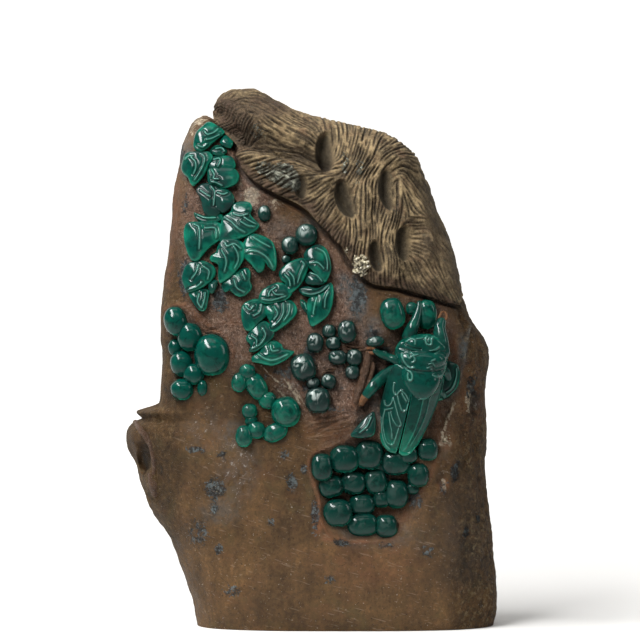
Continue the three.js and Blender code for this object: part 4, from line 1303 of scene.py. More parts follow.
class Finish:
    """A material in the making."""

    def __init__(self, name):
        self.material = bpy.data.materials.new(name)
        self.material.use_nodes = True
        self.tree = self.material.node_tree
        self.shader = self.tree.nodes["Principled BSDF"]
        self.place = self.node("ShaderNodeTexCoord", {}, {}, "Object")

    def node(self, kind, settings, inputs, output=0):
        """Adds a node, makes its settings, sets or links its sockets, and gives one of its outputs."""
        node = self.tree.nodes.new(kind)
        for name, value in settings.items():
            if name == "stops":
                self.stops(node.color_ramp, value)
            else:
                setattr(node, name, value)
        for socket, value in inputs.items():
            self.set(node, socket, value)
        return Value(self, node.outputs[output])

    def set(self, node, socket, value):
        if isinstance(value, Value):
            self.tree.links.new(value.output, node.inputs[socket])
        else:
            node.inputs[socket].default_value = value

    def stops(self, ramp, stops):
        while len(ramp.elements) > 1:
            ramp.elements.remove(ramp.elements[-1])
        for n, (position, shade) in enumerate(stops):
            element = ramp.elements[0] if n == 0 else ramp.elements.new(position)
            element.position = position
            element.color = (*shade, 1)

    def noise(self, size, detail=4.0, roughness=0.55, stretch=(1, 1, 1), twist=0.0, turn=0):
        """Cloudy noise from 0 to 1 with lumps of a size in millimetres."""
        place = self.node("ShaderNodeMapping", {"vector_type": "TEXTURE"}, {
            "Vector": self.place, "Rotation": (0, math.radians(turn), 0),
            "Scale": [1 / s for s in stretch]})
        return self.node("ShaderNodeTexNoise", {}, {
            "Vector": place, "Scale": 1 / (size * MM), "Detail": detail, "Roughness": roughness,
            "Distortion": twist})

    def step(self, value, low, high):
        """0 where the value is under low, 1 over high, and smooth between."""
        return self.node("ShaderNodeMapRange", {"interpolation_type": "SMOOTHSTEP"}, {
            "Value": value, "From Min": low, "From Max": high})

    def spots(self, low, high, *noise, **more):
        """Spots where cloudy noise rises past low, full from high on."""
        return self.step(self.noise(*noise, **more), low, high)

    def paint(self, name):
        """A painted attribute of the piece."""
        return self.node("ShaderNodeAttribute", {"attribute_name": name}, {}, "Fac")

    def ramp(self, value, stops):
        return self.node("ShaderNodeValToRGB", {"stops": stops}, {"Fac": value}, "Color")

    def tones(self, value, colour, *stops):
        """Darker and lighter tones of a colour, each stop with its position and share."""
        return self.ramp(value, [(at, scaled(colour, share)) for at, share in stops])

    def mix(self, first, second, share):
        """One colour over another, by a share from 0 to 1."""
        shades = [s if isinstance(s, Value) else (*s, 1) for s in (first, second)]
        return self.node("ShaderNodeMix", {"data_type": "RGBA"}, {
            0: share, 6: shades[0], 7: shades[1]}, 2)

    def coats(self, base, *coats):
        """Coats of colour laid over a base in order, each with how strongly it covers."""
        for colour, share in coats:
            base = self.mix(base, colour, share)
        return base

    def bumps(self, *bumps):
        """Bumps laid over each other, each with its height, distance in millimetres and strength."""
        below = {}
        for height, distance, strength in bumps:
            normal = self.node("ShaderNodeBump", {}, {
                "Height": height, "Distance": distance * MM, "Strength": strength, **below}, "Normal")
            below = {"Normal": normal}
        return normal

    def done(self, **sockets):
        """Sets the shader's sockets, and gives the material."""
        for socket, value in sockets.items():
            self.set(self.shader, socket.replace("_", " "), value)
        return self.material


def scaled(colour, factor):
    """A colour made darker or lighter."""
    return tuple(c * factor for c in colour)


def brown_skin(colour):
    """Rubbed brown skin with grey and rusty patches, dark stains and pits, pale specks, and painted shade
    round the green stone, in the crack under the crown and in hollows.
    """
    skin = Finish("rubbed_skin")
    side, carved, wood = skin.paint("side"), skin.paint("carved"), skin.paint("wood")
    cloud = skin.noise(26, 6, 0.6, twist=0.6)
    fine = skin.noise(2.4, 6, 0.75)
    grain = skin.noise(0.6, 3, 0.75)
    streak = skin.noise(5, 4, 0.6, (1, 1, 0.3))
    waves = skin.noise(2.2, 2, 0.5, (0.16, 1, 1), 0.5, -14)
    strokes = skin.noise(1.9, 4, 0.65, (1, 1, 0.34), 1.2)
    crumbs = skin.spots(0.28, 0.72, 3.4, 6, 0.75, twist=1.2)
    patchy = skin.spots(0.34, 0.62, 4, 5, 0.65)
    warm = skin.spots(0.5, 0.72, 11, 4, 0.6)
    olive = skin.spots(0.52, 0.75, 17, 3, 0.6, twist=1.0)
    earth = skin.spots(0.50, 0.60, 2.2, 5, 0.75, twist=1) * carved
    slate = skin.spots(0.56, 0.70, 6, 5, 0.7, twist=1.5) * carved
    dust = skin.spots(0.51, 0.62, 1.4, 4, 0.75, (1.4, 1, 0.6), 1.4) * carved
    mottle = skin.spots(0.61, 0.70, 3, 4, 0.7, twist=1.5)
    pit = skin.spots(0.59, 0.70, 1.0, 3, 0.6)
    scratch = skin.spots(0.64, 0.70, 1.1, 2, 0.5, (0.09, 1, 1), turn=16)
    speck = skin.spots(0.69, 0.75, 1.1, 2, 0.5)
    chips = skin.spots(0.3, 0.7, 1.5, 4, 0.65, (0.6, 1, 1), 0.8)
    dusty = skin.step(cloud, 0.38, 0.62) * 0.5 + 0.15
    pale = skin.step(skin.paint("pale") + (crumbs - 0.5) * 0.9, 0.45, 0.80)
    stain = skin.step(skin.paint("stain") + (crumbs - 0.5) * 1.1, 0.48, 0.66)
    chalk = skin.paint("chalk") * patchy
    flecks = skin.step(skin.noise(1.2, 4, 0.7, (1, 1, 0.6), turn=35) + chalk * 0.13, 0.67, 0.74)
    tone = skin.step(cloud * 0.4 + streak * 0.2 + fine * 0.45, 0.38, 0.72)
    base = skin.coats(
        skin.tones(tone, colour, (0, 0.42), (0.4, 0.82), (0.7, 1.12), (1, 1.8)),
        ((0.155, 0.070, 0.030), warm * 0.30),
        ((0.098, 0.072, 0.026), olive * 0.5),
        ((0.265, 0.150, 0.108), carved * 0.58),
        ((0.110, 0.130, 0.132), skin.paint("grey") * (patchy * 0.8 + 0.2)),
        ((0.240, 0.100, 0.045), skin.paint("rust") * (patchy * 0.75 + 0.2)),
        ((0.048, 0.028, 0.019), earth * 0.7),
        ((0.100, 0.125, 0.135), slate * 0.5),
        ((0.430, 0.300, 0.225), dust * 0.8),
        ((0.610, 0.510, 0.365), pale * (skin.step(fine, 0.40, 0.58) * 0.65 + 0.3)),
        # Dark patches, and painted shade round the leaves and berries, in the crack under the crown and in
        # hollows and cut valleys.
        ((0.014, 0.013, 0.011), skin.paint("dark") * (patchy * 0.25 + 0.70)),
        ((0.014, 0.013, 0.009), side * skin.step(crumbs, 0.5, 0.78) * 0.65),
        ((0.300, 0.235, 0.130), side * skin.step(fine, 0.50, 0.66) * dusty),
        ((0.050, 0.028, 0.014), wood * skin.step(waves, 0.54, 0.64) * 0.75),
        ((0.270, 0.170, 0.105), wood * skin.step(1 - waves, 0.54, 0.66) * 0.7),
        ((0.024, 0.019, 0.013), mottle * 0.6),
        ((0.020, 0.024, 0.026), stain * 0.85),
        ((0.185, 0.225, 0.230), stain * skin.step(fine, 0.47, 0.59) * 0.75),
        ((0.016, 0.011, 0.007), pit * 0.6),
        ((0.260, 0.190, 0.130), scratch * (1 - carved) * (1 - side) * 0.4),
        ((0.460, 0.420, 0.350), speck * 0.5),
        ((0.440, 0.400, 0.350), flecks * chalk * 0.8),
        ((0.130, 0.110, 0.095), chalk * 0.35))
    rough = skin.step(fine * 0.6 + cloud * 0.4, 0.3, 0.7) * 0.22 + 0.44 + side * 0.2
    normal = skin.bumps(
        (strokes * 0.5 + fine * 0.8, 1.3, 0.9),
        (chips * carved, 2.6, 0.9),
        (crumbs * side, 2.6, 0.9),
        (stain * crumbs, 0.8, 0.9),
        (waves * wood, -2.4, 0.9),
        (grain, 0.32, 0.8))
    return skin.done(Base_Color=base, Roughness=rough, Normal=normal, Specular_IOR_Level=0.22)


def bark_skin(colour):
    """Matt skin of the crown: light ridges, grooves painted dark with shade, painted shade on the hollows'
    left sides, the valleys and the right flank, and a grey-green mineral patch.
    """
    bark = Finish("bark_skin")
    cut = bark.paint("cut")
    cloud = bark.noise(12, 5, 0.6, twist=0.5)
    fine = bark.noise(1.5, 5, 0.75)
    grain = bark.noise(0.55, 3, 0.75)
    strokes = bark.noise(1.7, 4, 0.7, (0.3, 1, 1), 0.4, 35)
    crumbs = bark.spots(0.28, 0.72, 2.6, 5, 0.75, twist=1.2)
    patina = bark.spots(0.63, 0.71, 3.4, 4, 0.7, twist=1)
    mineral = bark.step(bark.paint("mineral") + (crumbs - 0.5) * 0.8, 0.42, 0.62)
    shades = bark.ramp(strokes, [
        (0.38, (0.020, 0.024, 0.020)), (0.5, (0.13, 0.15, 0.12)), (0.60, (0.58, 0.58, 0.46))])
    tone = bark.step(cloud * 0.5 + fine * 0.5, 0.38, 0.63)
    base = bark.coats(
        bark.tones(tone, colour, (0, 0.32), (0.45, 0.86), (1, 1.55)),
        ((0.150, 0.074, 0.038), bark.spots(0.5, 0.7, 7, 4, 0.6) * 0.5),
        ((0.092, 0.050, 0.034), bark.paint("red") * (crumbs * 0.35 + 0.6)),
        ((0.190, 0.142, 0.086), bark.paint("hollow") * 0.6),
        # Painted shade: the hollows' left sides, the right flank and the sides that face away, and the
        # broad valleys with the darker ground.
        ((0.030, 0.024, 0.014), bark.paint("shade") * (crumbs * 0.2 + 0.75)),
        ((0.062, 0.046, 0.028), bark.paint("flank") * (crumbs * 0.4 + 0.4)),
        ((0.040, 0.026, 0.016), bark.paint("dark") * 0.6),
        (shades, mineral * 0.9),
        # The grooves are painted darker by their depth: painted shade in the cuts.
        ((0.066, 0.046, 0.026), bark.step(cut, 0.05, 0.35) * 0.7),
        ((0.022, 0.016, 0.010), bark.step(cut + (crumbs - 0.5) * 0.8, 0.35, 0.85) * 0.9),
        ((0.048, 0.092, 0.078), patina * 0.5),
        ((0.022, 0.017, 0.012), bark.spots(0.61, 0.70, 1.9, 4, 0.7) * 0.6),
        ((0.330, 0.290, 0.220), bark.step(grain, 0.62, 0.72) * 0.3))
    rough = 0.80 - mineral * 0.5
    normal = bark.bumps(
        (crumbs, 0.9, 0.8),
        (fine, 1.2, 0.9),
        (strokes * mineral, 1.6, 0.9),
        (grain, 0.3, 0.8))
    return bark.done(Base_Color=base, Roughness=rough, Normal=normal, Specular_IOR_Level=0.3)


def green_stone(colour, edge, smoke):
    """Polished chalcedony, deep green, lighter at its thinnest edges, with painted light glowing through
    rims that face down and to the right, smoky in places, and with painted highlights, sheen and shade.
    """
    stone = Finish("polished_stone")
    mist = stone.spots(0.3, 0.7, 7, 4, 0.55, twist=1.2)
    # Lighter where the stone is at its thinnest, and painted light where rims facing down and to the right
    # would glow.
    light = stone.step(stone.paint("thin") + (mist - 0.5) * 0.34, 0.1, 1.05)
    deep = stone.spots(0.5, 0.68, 4, 4, 0.6, twist=1)
    smoky = stone.spots(0.25, 0.6, 5, 3, 0.6, twist=0.8)
    milk = stone.spots(0.6, 0.8, 3.2, 4, 0.6, twist=2)
    glare_patches = stone.spots(0.42, 0.60, 3, 2, 0.5, (1, 1, 0.6), 1, 20)
    base = stone.coats(
        colour,
        (edge, light),
        (scaled(colour, 0.3), deep * (1 - light) * 0.7),
        (smoke, stone.paint("smoke") * smoky),
        ((0.10, 0.20, 0.16), milk * 0.14),
        # Lighter lines: painted sheen along the leaves' ridge crests, a painted highlight on the cicada's
        # raised lines, and the wing veins' pale colour.
        ((0.130, 0.360, 0.290), stone.paint("line") * 0.6),
        # Painted highlight on the smoky berries and the wing veins, broken into patches.
        ((0.370, 0.430, 0.400), stone.paint("glare") * glare_patches),
        # Darker: painted shade in the leaves' valleys, in the cicada's cut lines and on the lower berries
        # in their recess, and a darker tone elsewhere.
        ((0.002, 0.010, 0.008), stone.paint("dim")))
    rough = stone.spots(0.3, 0.8, 2.2, 3, 0.6) * 0.08 + 0.10
    normal = stone.bumps((stone.noise(3, 2, 0.5), 0.14, 0.5))
    return stone.done(Base_Color=base, Roughness=rough, Normal=normal, Specular_IOR_Level=0.27)


def crystal_crust(colour):
    """Glittering pale crystals with a golden tinge."""
    crust = Finish("crystal_crust")
    tint = crust.noise(1.5, 2, 0.6)
    base = crust.ramp(tint, [
        (0.38, scaled(colour, 0.14)), (0.52, scaled(colour, 0.6)), (0.60, colour),
        (0.70, (0.78, 0.74, 0.60))])
    rough = crust.step(tint, 0.3, 0.7) * 0.15 + 0.06
    return crust.done(Base_Color=base, Roughness=rough, Specular_IOR_Level=0.5)


def material(name):
    """The named material, made the first time it is asked for."""
    found = bpy.data.materials.get(name)
    if found:
        return found
    colours = bpy.context.scene.carving_colours
    if name == "rubbed_skin":
        return brown_skin(tuple(colours.brown))
    if name == "bark_skin":
        return bark_skin(tuple(colours.bark))
    if name == "polished_stone":
        return green_stone(tuple(colours.green), tuple(colours.edge), tuple(colours.smoke))
    return crystal_crust(tuple(colours.crystal))


def boulder_places(ball):
    """Places on the boulder's drum, the share of its depth towards the front, and whether each place
    is on its side."""
    rise = 1 - ball.fall
    side = np.clip((rise - FOOT_SHARE) / (1 - FOOT_SHARE - TIP_SHARE), 0, 1)
    reach = np.minimum(1, np.minimum(rise / FOOT_SHARE, (1 - rise) / TIP_SHARE))
    even = side * BOULDER[-1][0]
    away = even - STUB_TOP
    draw = STUB_DRAW * np.exp(-((away / STUB_REACH) ** 2))
    z = even - np.sign(away) * np.minimum(draw, STUB_DRAW_SHARE * np.abs(away))
    middle, half, front, back, squareness = section(z)
    angle = ball.turn - FACE_CROWDING * np.sin(ball.turn)
    across, out = np.sin(angle), np.cos(angle)
    power = np.where(out < 0, BACK_SQUARENESS, np.where(across < 0, squareness, RIGHT_SQUARENESS))
    round_ = (np.abs(across) ** power + np.abs(out) ** power) ** (1 / power)
    reach = np.where(ball.pole, 0, reach) / round_
    x = middle + half * across * reach
    depth = out * reach
    y = np.where(depth > 0, front_of(front, depth, x, z), MID_PLANE - depth * back)
    rough = np.where((side > 0) & (side < 1), BACK_ROUGHNESS * swell(x, y, z), 0)
    y = np.where(depth > 0, y, y - rough * depth)
    return np.stack([x, y, z], 1), depth, (rise > FOOT_SHARE) & (rise < 1 - TIP_SHARE)


def crack_rows():
    """The dark groove in the boulder just under the crown, and the lip below it."""
    line = np.array([row[:2] for row in CROWN])
    return [[-1.6, 1.6, *(line - 0.9).ravel()], [0.8, 1.6, *(line - 0.9 - 2).ravel()]]


def near_green(x, z):
    """How near each place of the face is to a leaf or a berry, for the shade painted round them."""
    leaves = []
    for _, _, outline, _ in LEAVES.values():
        points = pairs(outline)
        leaves.append([*points.mean(0), *(points.std(0) * OUTLINE_SPREAD + LEAF_SHADOW), 1])
    berries = [[middle_x, middle_z, wide + BERRY_SHADOW, high + BERRY_SHADOW, 1]
               for rows in BERRIES.values() for middle_x, middle_z, wide, high, _ in rows]
    return np.maximum(patches(leaves, x, z, 0.75), patches(berries, x, z, 0.72))


class CARVING_OT_boulder(bpy.types.Operator):
    """Shape the boulder's brown skin."""

    bl_idname = "carving.boulder"
    bl_label = "Boulder"

    def execute(self, context):
        roughness = context.scene.carving_sizes.skin_roughness / MM
        ball = Ball(*BOULDER_BALL)
        places, depth, is_side = boulder_places(ball)
        shaped, ways = ball.placed(places)
        x, _, z = places.T
        facing = smooth(1.6 * depth)
        marks = {
            "carved": patches(CARVED_GROUND, x, z, 0.5), "waves": patches([WAVES], x, z),
            "rims": carve(x, z, RIMS)}
        push = self.rough(places, facing, roughness, marks["carved"])
        push = push + facing * self.strokes(places, marks)
        inward = np.clip(push, *PUSH_LIMITS) * np.where(is_side, 1.0, 0.0) * smooth(z / 6)
        moved(shaped, places + ways * inward[:, None])
        piece = Gathering()
        piece.add(shaped, **self.paint(places, facing, marks))
        piece.finish("boulder_skin", "brown_skin", material("rubbed_skin"), BOULDER_CREASE)
        ball.remove()
        return {"FINISHED"}

    def rough(self, places, facing, roughness, carved):
        """How far the skin's lumps and chisel marks stand out."""
        x, _, z = places.T
        push = roughness * lumps(places, SLOW_LUMPS) + lumps(places, FINE_LUMPS)
        push = push + carved * lumps(places, CHISEL_LUMPS)
        flank = smooth((x - RIGHT_FLANK) / FLANK_SPAN) * facing + 0.5 * (1 - facing)
        return push + flank * lumps(places, FLANK_LUMPS) + patches(KNOTS, x, z, 0)

    def strokes(self, places, marks):
        """How far the lines and waves cut in the face stand out."""
        x, _, z = places.T
        stroke = carve(x, z, CLUSTER_RIMS + FACE_LINES) + marks["rims"] + carve(x, z, crack_rows())
        phase = (z - WAVES[1]) - WAVE_SLANT * (x - WAVES[0]) + 1.1 * wander(places, 8, 5)
        return stroke + WAVE_HEIGHT * marks["waves"] * np.sin(phase * 2 * math.pi / WAVE_LENGTH)

    def paint(self, places, facing, marks):
        """The colours' strengths over the skin. Patches lie on the front, and weather behind."""
        x, _, z = places.T
        front = facing > 0.02
        behind = smooth(1 - 3 * facing)
        weather = {name: strength * behind * smooth(wander(places, size, size) * 2)
                   for name, (size, strength) in WEATHER.items()}
        grey = np.maximum(patches(GREY_PATCHES, x, z), np.clip(marks["rims"], 0, 0.9))
        rusty_rims = 0.85 * carve(x, z, [[1, 2.2, *row[2:]] for row in CLUSTER_RIMS])
        rust = np.maximum(patches(RUST_PATCHES, x, z), rusty_rims)
        pale = patches(PALE_PATCHES, x, z) + carve(x, z, PALE_LINES) + 0.45 * marks["rims"]
        # Painted shade in the crack's groove under the crown, and round the leaves and berries.
        crack = carve(x, z, [[0.8, 2, *crack_rows()[0][2:]]])
        dark = patches(DARK_PATCHES, x, z) + 0.5 * near_green(x, z) + crack
        side = sum(strength * smooth((x - start) / span) for start, span, strength in ROUGH_SIDES)
        return {
            "grey": grey * front + weather["grey"],
            "rust": np.clip(rust, 0, 1) * front + weather["rust"],
            "pale": np.clip(pale, 0, 1) * front,
            "dark": np.clip(dark, 0, 1) * front + weather["dark"],
            "stain": patches(STAINS, x, z, 0.2) * front,
            "chalk": patches(CHALK, x, z, 0.4) * front,
            "side": np.clip(side + ROUGH_BACK * (1 - facing), 0, 1),
            "carved": marks["carved"] * front,
            "wood": marks["waves"] * front,
        }


class CARVING_OT_crown(bpy.types.Operator):
    """Shape the crown and cut its bark-like grooves."""

    bl_idname = "carving.crown"
    bl_label = "Bark crown"

    def execute(self, context):
        sizes = context.scene.carving_sizes
        ball = Ball(*CROWN_BALL)
        share = (ball.turn / (2 * math.pi)) % 1
        places, facing = crown_point(share, ball.fall)
        for end in np.nonzero(ball.pole)[0]:
            ring = np.abs(ball.fall - ball.fall[end]) < 1.5 / CROWN_BALL[1]
            places[end] = places[ring & ~ball.pole].mean(0)
        shaped, ways = ball.placed(places)
        x, _, z = places.T
        front = facing > 0
        cut, inside, shade = eye_cut(x, z)
        folds = carve(x, z, CROWN_FOLDS)
        grooves = on_grid(groove_map(sizes.groove_spacing / MM, sizes.groove_width / MM), x, z)
        grooves = grooves * ((1 - patches(CALM, x, z)) * (1 - 0.85 * inside)) * np.where(front, 1, 0.5)
        mineral = patches(MINERAL_PATCHES, x, z, 0.55)
        depth = grooves * (1 + 0.5 * mineral) * sizes.groove_depth / MM
        push = lumps(places, CROWN_LUMPS) - depth + (folds - cut) * facing
        under = (share > CROWN_FRONT_SHARE) & (share < 1 - CROWN_BACK_SHARE)
        push = np.where(under, 0, np.minimum(push, 0.9 + 1.6 * facing))
        moved(shaped, places + ways * push[:, None])
        # Painted shade on the right flank, which turns away from the light, and where the crown faces away
        # from the front.
        flank = smooth((x + 0.28 * (z - 170) - 66) / 12) + (1 - np.clip(facing * 4, 0, 1)) * 0.6
        lip = smooth((share / CROWN_FRONT_SHARE - 0.9) / 0.07) * (share < 0.9)
        # The two broad valleys are painted with shade.
        folded = smooth(-carve(x, z, CROWN_FOLDS[:2]) / 4)
        piece = Gathering()
        piece.add(shaped, cut=grooves, hollow=inside * front, shade=shade * front,
                  mineral=mineral * (1 - lip), flank=np.clip(flank, 0, 1),
                  red=np.clip(np.maximum(lip, patches(CROWN_RED, x, z)), 0, 1) * front,
                  dark=np.maximum(folded, patches(CROWN_DARK, x, z)) * front)
        piece.finish("bark_crown", "bark", material("bark_skin"), CROWN_CREASE)
        ball.remove()
        return {"FINISHED"}


def outline_places(ball, outline):
    """Spreads a ball's points over a closed outline: the places, the share of the way to the rim, and
    how far down the wall each point is."""
    line = smooth_line(pairs(outline), closed=True, steps=8)
    closed = np.vstack([line, line[:1]])
    lengths = lengths_of(closed)
    share = (ball.turn / (2 * math.pi)) % 1 * lengths[-1]
    middle = line.mean(0)
    over = np.clip(ball.fall / TOP_SHARE, 0, 1)
    wall = np.clip((ball.fall - TOP_SHARE) / WALL_SHARE, 0, 1)
    under = np.clip((ball.fall - TOP_SHARE - WALL_SHARE) / (1 - TOP_SHARE - WALL_SHARE), 0, 1)
    spread = 1 - (1 - over) ** 1.4
    reach = spread * (1 - UNDERCUT * wall) * (1 - under)
    u, v = (middle[c] + (np.interp(share, lengths, closed[:, c]) - middle[c]) * reach for c in range(2))
    return u, v, spread, wall


def rounding(spread, drop):
    """How far an upper surface falls as it rounds over to its rim."""
    t = np.clip((spread - 1 + ROUNDING) / ROUNDING, 0, 1)
    return drop * (1 - np.sqrt(np.clip(1 - t * t, 0, 1)))


def ridges(u, v, rows, height, width):
    """Carved ridges with a narrow valley on each side: their height, crests and valleys."""
    total = np.zeros(u.shape)
    crest = np.zeros(u.shape)
    trough = np.zeros(u.shape)
    for row in rows:
        near = nearness(u, v, row, 3 * width)
        bell = np.exp(-((3 * near) ** 2) * 1.6)
        valley = np.exp(-((3 * near - 1.5) ** 2) * 2.2)
        total = total + height * (bell - 0.5 * valley)
        crest = np.maximum(crest, bell)
        trough = np.maximum(trough, valley)
    return total, crest, trough * (1 - crest)


class CARVING_OT_leaves(bpy.types.Operator):
    """Carve the leaves."""

    bl_idname = "carving.leaves"
    bl_label = "Leaves"

    def execute(self, context):
        height = context.scene.carving_sizes.ridge_height / MM
        ball = Ball(*LEAF_BALL)
        names = list(LEAVES)
        groups = {"leaves_upper": names[:UPPER_LEAVES], "leaves_middle": names[UPPER_LEAVES:]}
        for piece_name, members in groups.items():
            piece = Gathering()
            for name in members:
                self.leaf(piece, ball, name, height, LEAF_SHIFT[piece_name])
            piece.finish(piece_name, "green_stone", material("polished_stone"), GREEN_CREASE)
        ball.remove()
        return {"FINISHED"}

    def leaf(self, piece, ball, name, height, shift):
        lift, smoke, outline, lines = LEAVES[name]
        points = pairs(outline)
        middle = points.mean(0)
        grown = middle + (points - middle) * LEAF_GROWTH + shift
        x, z, spread, wall = outline_places(ball, grown)
        floor = (face_at(*middle) + face_at(x, z)) / 2
        rise, crest, trough = ridges(x - shift[0], z - shift[1], lines, height, RIDGE_WIDTH)
        fade = np.clip((1 - spread) * 6, 0, 1)
        flat = np.stack([x, z, 0 * x], 1)
        low = (middle[1] - z) / np.ptp(points[:, 1])
        top = LEAF_EDGE + lift + LEAF_TILT * low + LEAF_DOME * (1 - spread ** 2)
        top = top + rise * (0.3 + 0.7 * fade) + 0.45 * wander(flat, 8, len(name)) - rounding(spread, 1.0)
        up = top + (-LEAF_ROOT - top) * wall
        shaped, ways = ball.placed(np.stack([x, floor - up, z], 1))
        # How much the surface faces right and down, away from the light: painted light glows through the
        # rims there.
        away = smooth(0.5 + 0.9 * (ways[:, 0] - ways[:, 2]))
        rim = smooth((spread - 0.8) / 0.2)
        glow = 0.5 * wander(flat, 6, 3 + len(outline)) + 0.3 * away - 0.1
        thin = rim * (0.05 + 0.7 * away) + (0.1 + 0.35 * spread + glow) * (1 - smoke)
        smoke = np.clip(smoke + 0.6 * smooth(1.6 * wander(flat, 5, 20 + len(name))), 0, 1)
        # Painted sheen along the ridge crests, and painted shade in the valleys beside them.
        piece.add(shaped, thin=np.clip(thin, 0, 1), smoke=smoke, line=crest ** 4 * fade,
                  dim=0.5 * trough * fade)


class CARVING_OT_berries(bpy.types.Operator):
    """Carve the clusters of berries."""

    bl_idname = "carving.berries"
    bl_label = "Berries"

    def execute(self, context):
        ball = Ball(*BERRY_BALL)
        piece = Gathering()
        for cluster, rows in BERRIES.items():
            for seed, row in enumerate(rows):
                self.berry(piece, ball, row, BERRY_STONE[cluster], seed)
        piece.finish("berries", "green_stone", material("polished_stone"))
        ball.remove()
        return {"FINISHED"}

    def berry(self, piece, ball, row, stone, seed):
        x, z, half_wide, half_high, lean = row
        smoke, dim, light, power = stone
        deep = BERRY_DEPTH * min(half_wide, half_high)
        middle = face_at(x, z) - BERRY_LIFT * deep
        cos, sin = tilt(lean)
        unit = ball.unit
        size = (np.abs(unit) ** power).sum(1) ** (-1 / power)
        body = unit * size[:, None] * (1 + 0.05 * wander(unit * 3 + seed, 2.2, seed))[:, None]
        wide, high = body[:, 0] * half_wide, body[:, 2] * half_high
        shaped, _ = ball.placed(np.stack([
            x + wide * cos - high * sin, middle + body[:, 1] * deep, z + wide * sin + high * cos], 1))
        # Painted light glowing through each berry's lower-right rim.
        low = np.clip(-unit[:, 2] * 0.8 + unit[:, 0] * 0.35, 0, 1)
        rim = smooth((np.hypot(unit[:, 0], unit[:, 2]) - 0.66) / 0.34)
        # A painted highlight where the berry faces front, up and a little left.
        glare = smooth((unit @ GLARE_WAY - GLARE_START) * 5)
        piece.add(shaped, thin=0.6 * smooth(low * 1.3) * rim + light, smoke=smoke, dim=dim,
                  glare=smoke * glare)


def on_cicada(places):
    """Moves places from the cicada's frame to the stone."""
    x, z, lean = CICADA
    cos, sin = tilt(lean)
    along, across, up = places.T
    ground = float(face_at(x, z))
    return np.stack([x + along * sin + across * cos, ground - up, z + along * cos - across * sin], 1)


def limb(row):
    """A cicada's limb as points on the stone: it never sinks into the face."""
    run = fours(row)
    x, y, z = on_cicada(run[:, :3]).T
    surface = face_at(x, z) - LIMB_PROUD * run[:, 3]
    return np.stack([x, np.minimum(y, surface), z, run[:, 3]], 1)


def tube_places(ball, points):
    """Places round a run of points with a radius at each, closed and rounded at both ends."""
    run = smooth_line(points)
    centre, radius = run[:, :3], run[:, 3]
    lengths = lengths_of(centre)
    total, start, end = lengths[-1], radius[0], radius[-1]
    at = ball.fall * (start + total + end) - start
    inner = np.clip(at, 0, total)

    def centre_at(along):
        along = np.clip(along, 0, total)
        return np.stack([np.interp(along, lengths, centre[:, c]) for c in range(3)], 1)

    before, after = np.clip(-at / start, 0, 1), np.clip((at - total) / end, 0, 1)
    cap = np.maximum(before, after)
    size = np.interp(inner, lengths, radius) * np.sqrt(np.clip(1 - cap * cap, 0, 1))
    way = centre_at(inner + TUBE_REACH) - centre_at(inner - TUBE_REACH)
    way = way / np.linalg.norm(way, axis=1)[:, None]
    aside = np.cross(way, TUBE_START)
    aside = aside / np.linalg.norm(aside, axis=1)[:, None]
    other = np.cross(way, aside)
    around = np.cos(ball.turn)[:, None] * aside + np.sin(ball.turn)[:, None] * other
    return centre_at(inner) + way * (after * end - before * start)[:, None] + size[:, None] * around


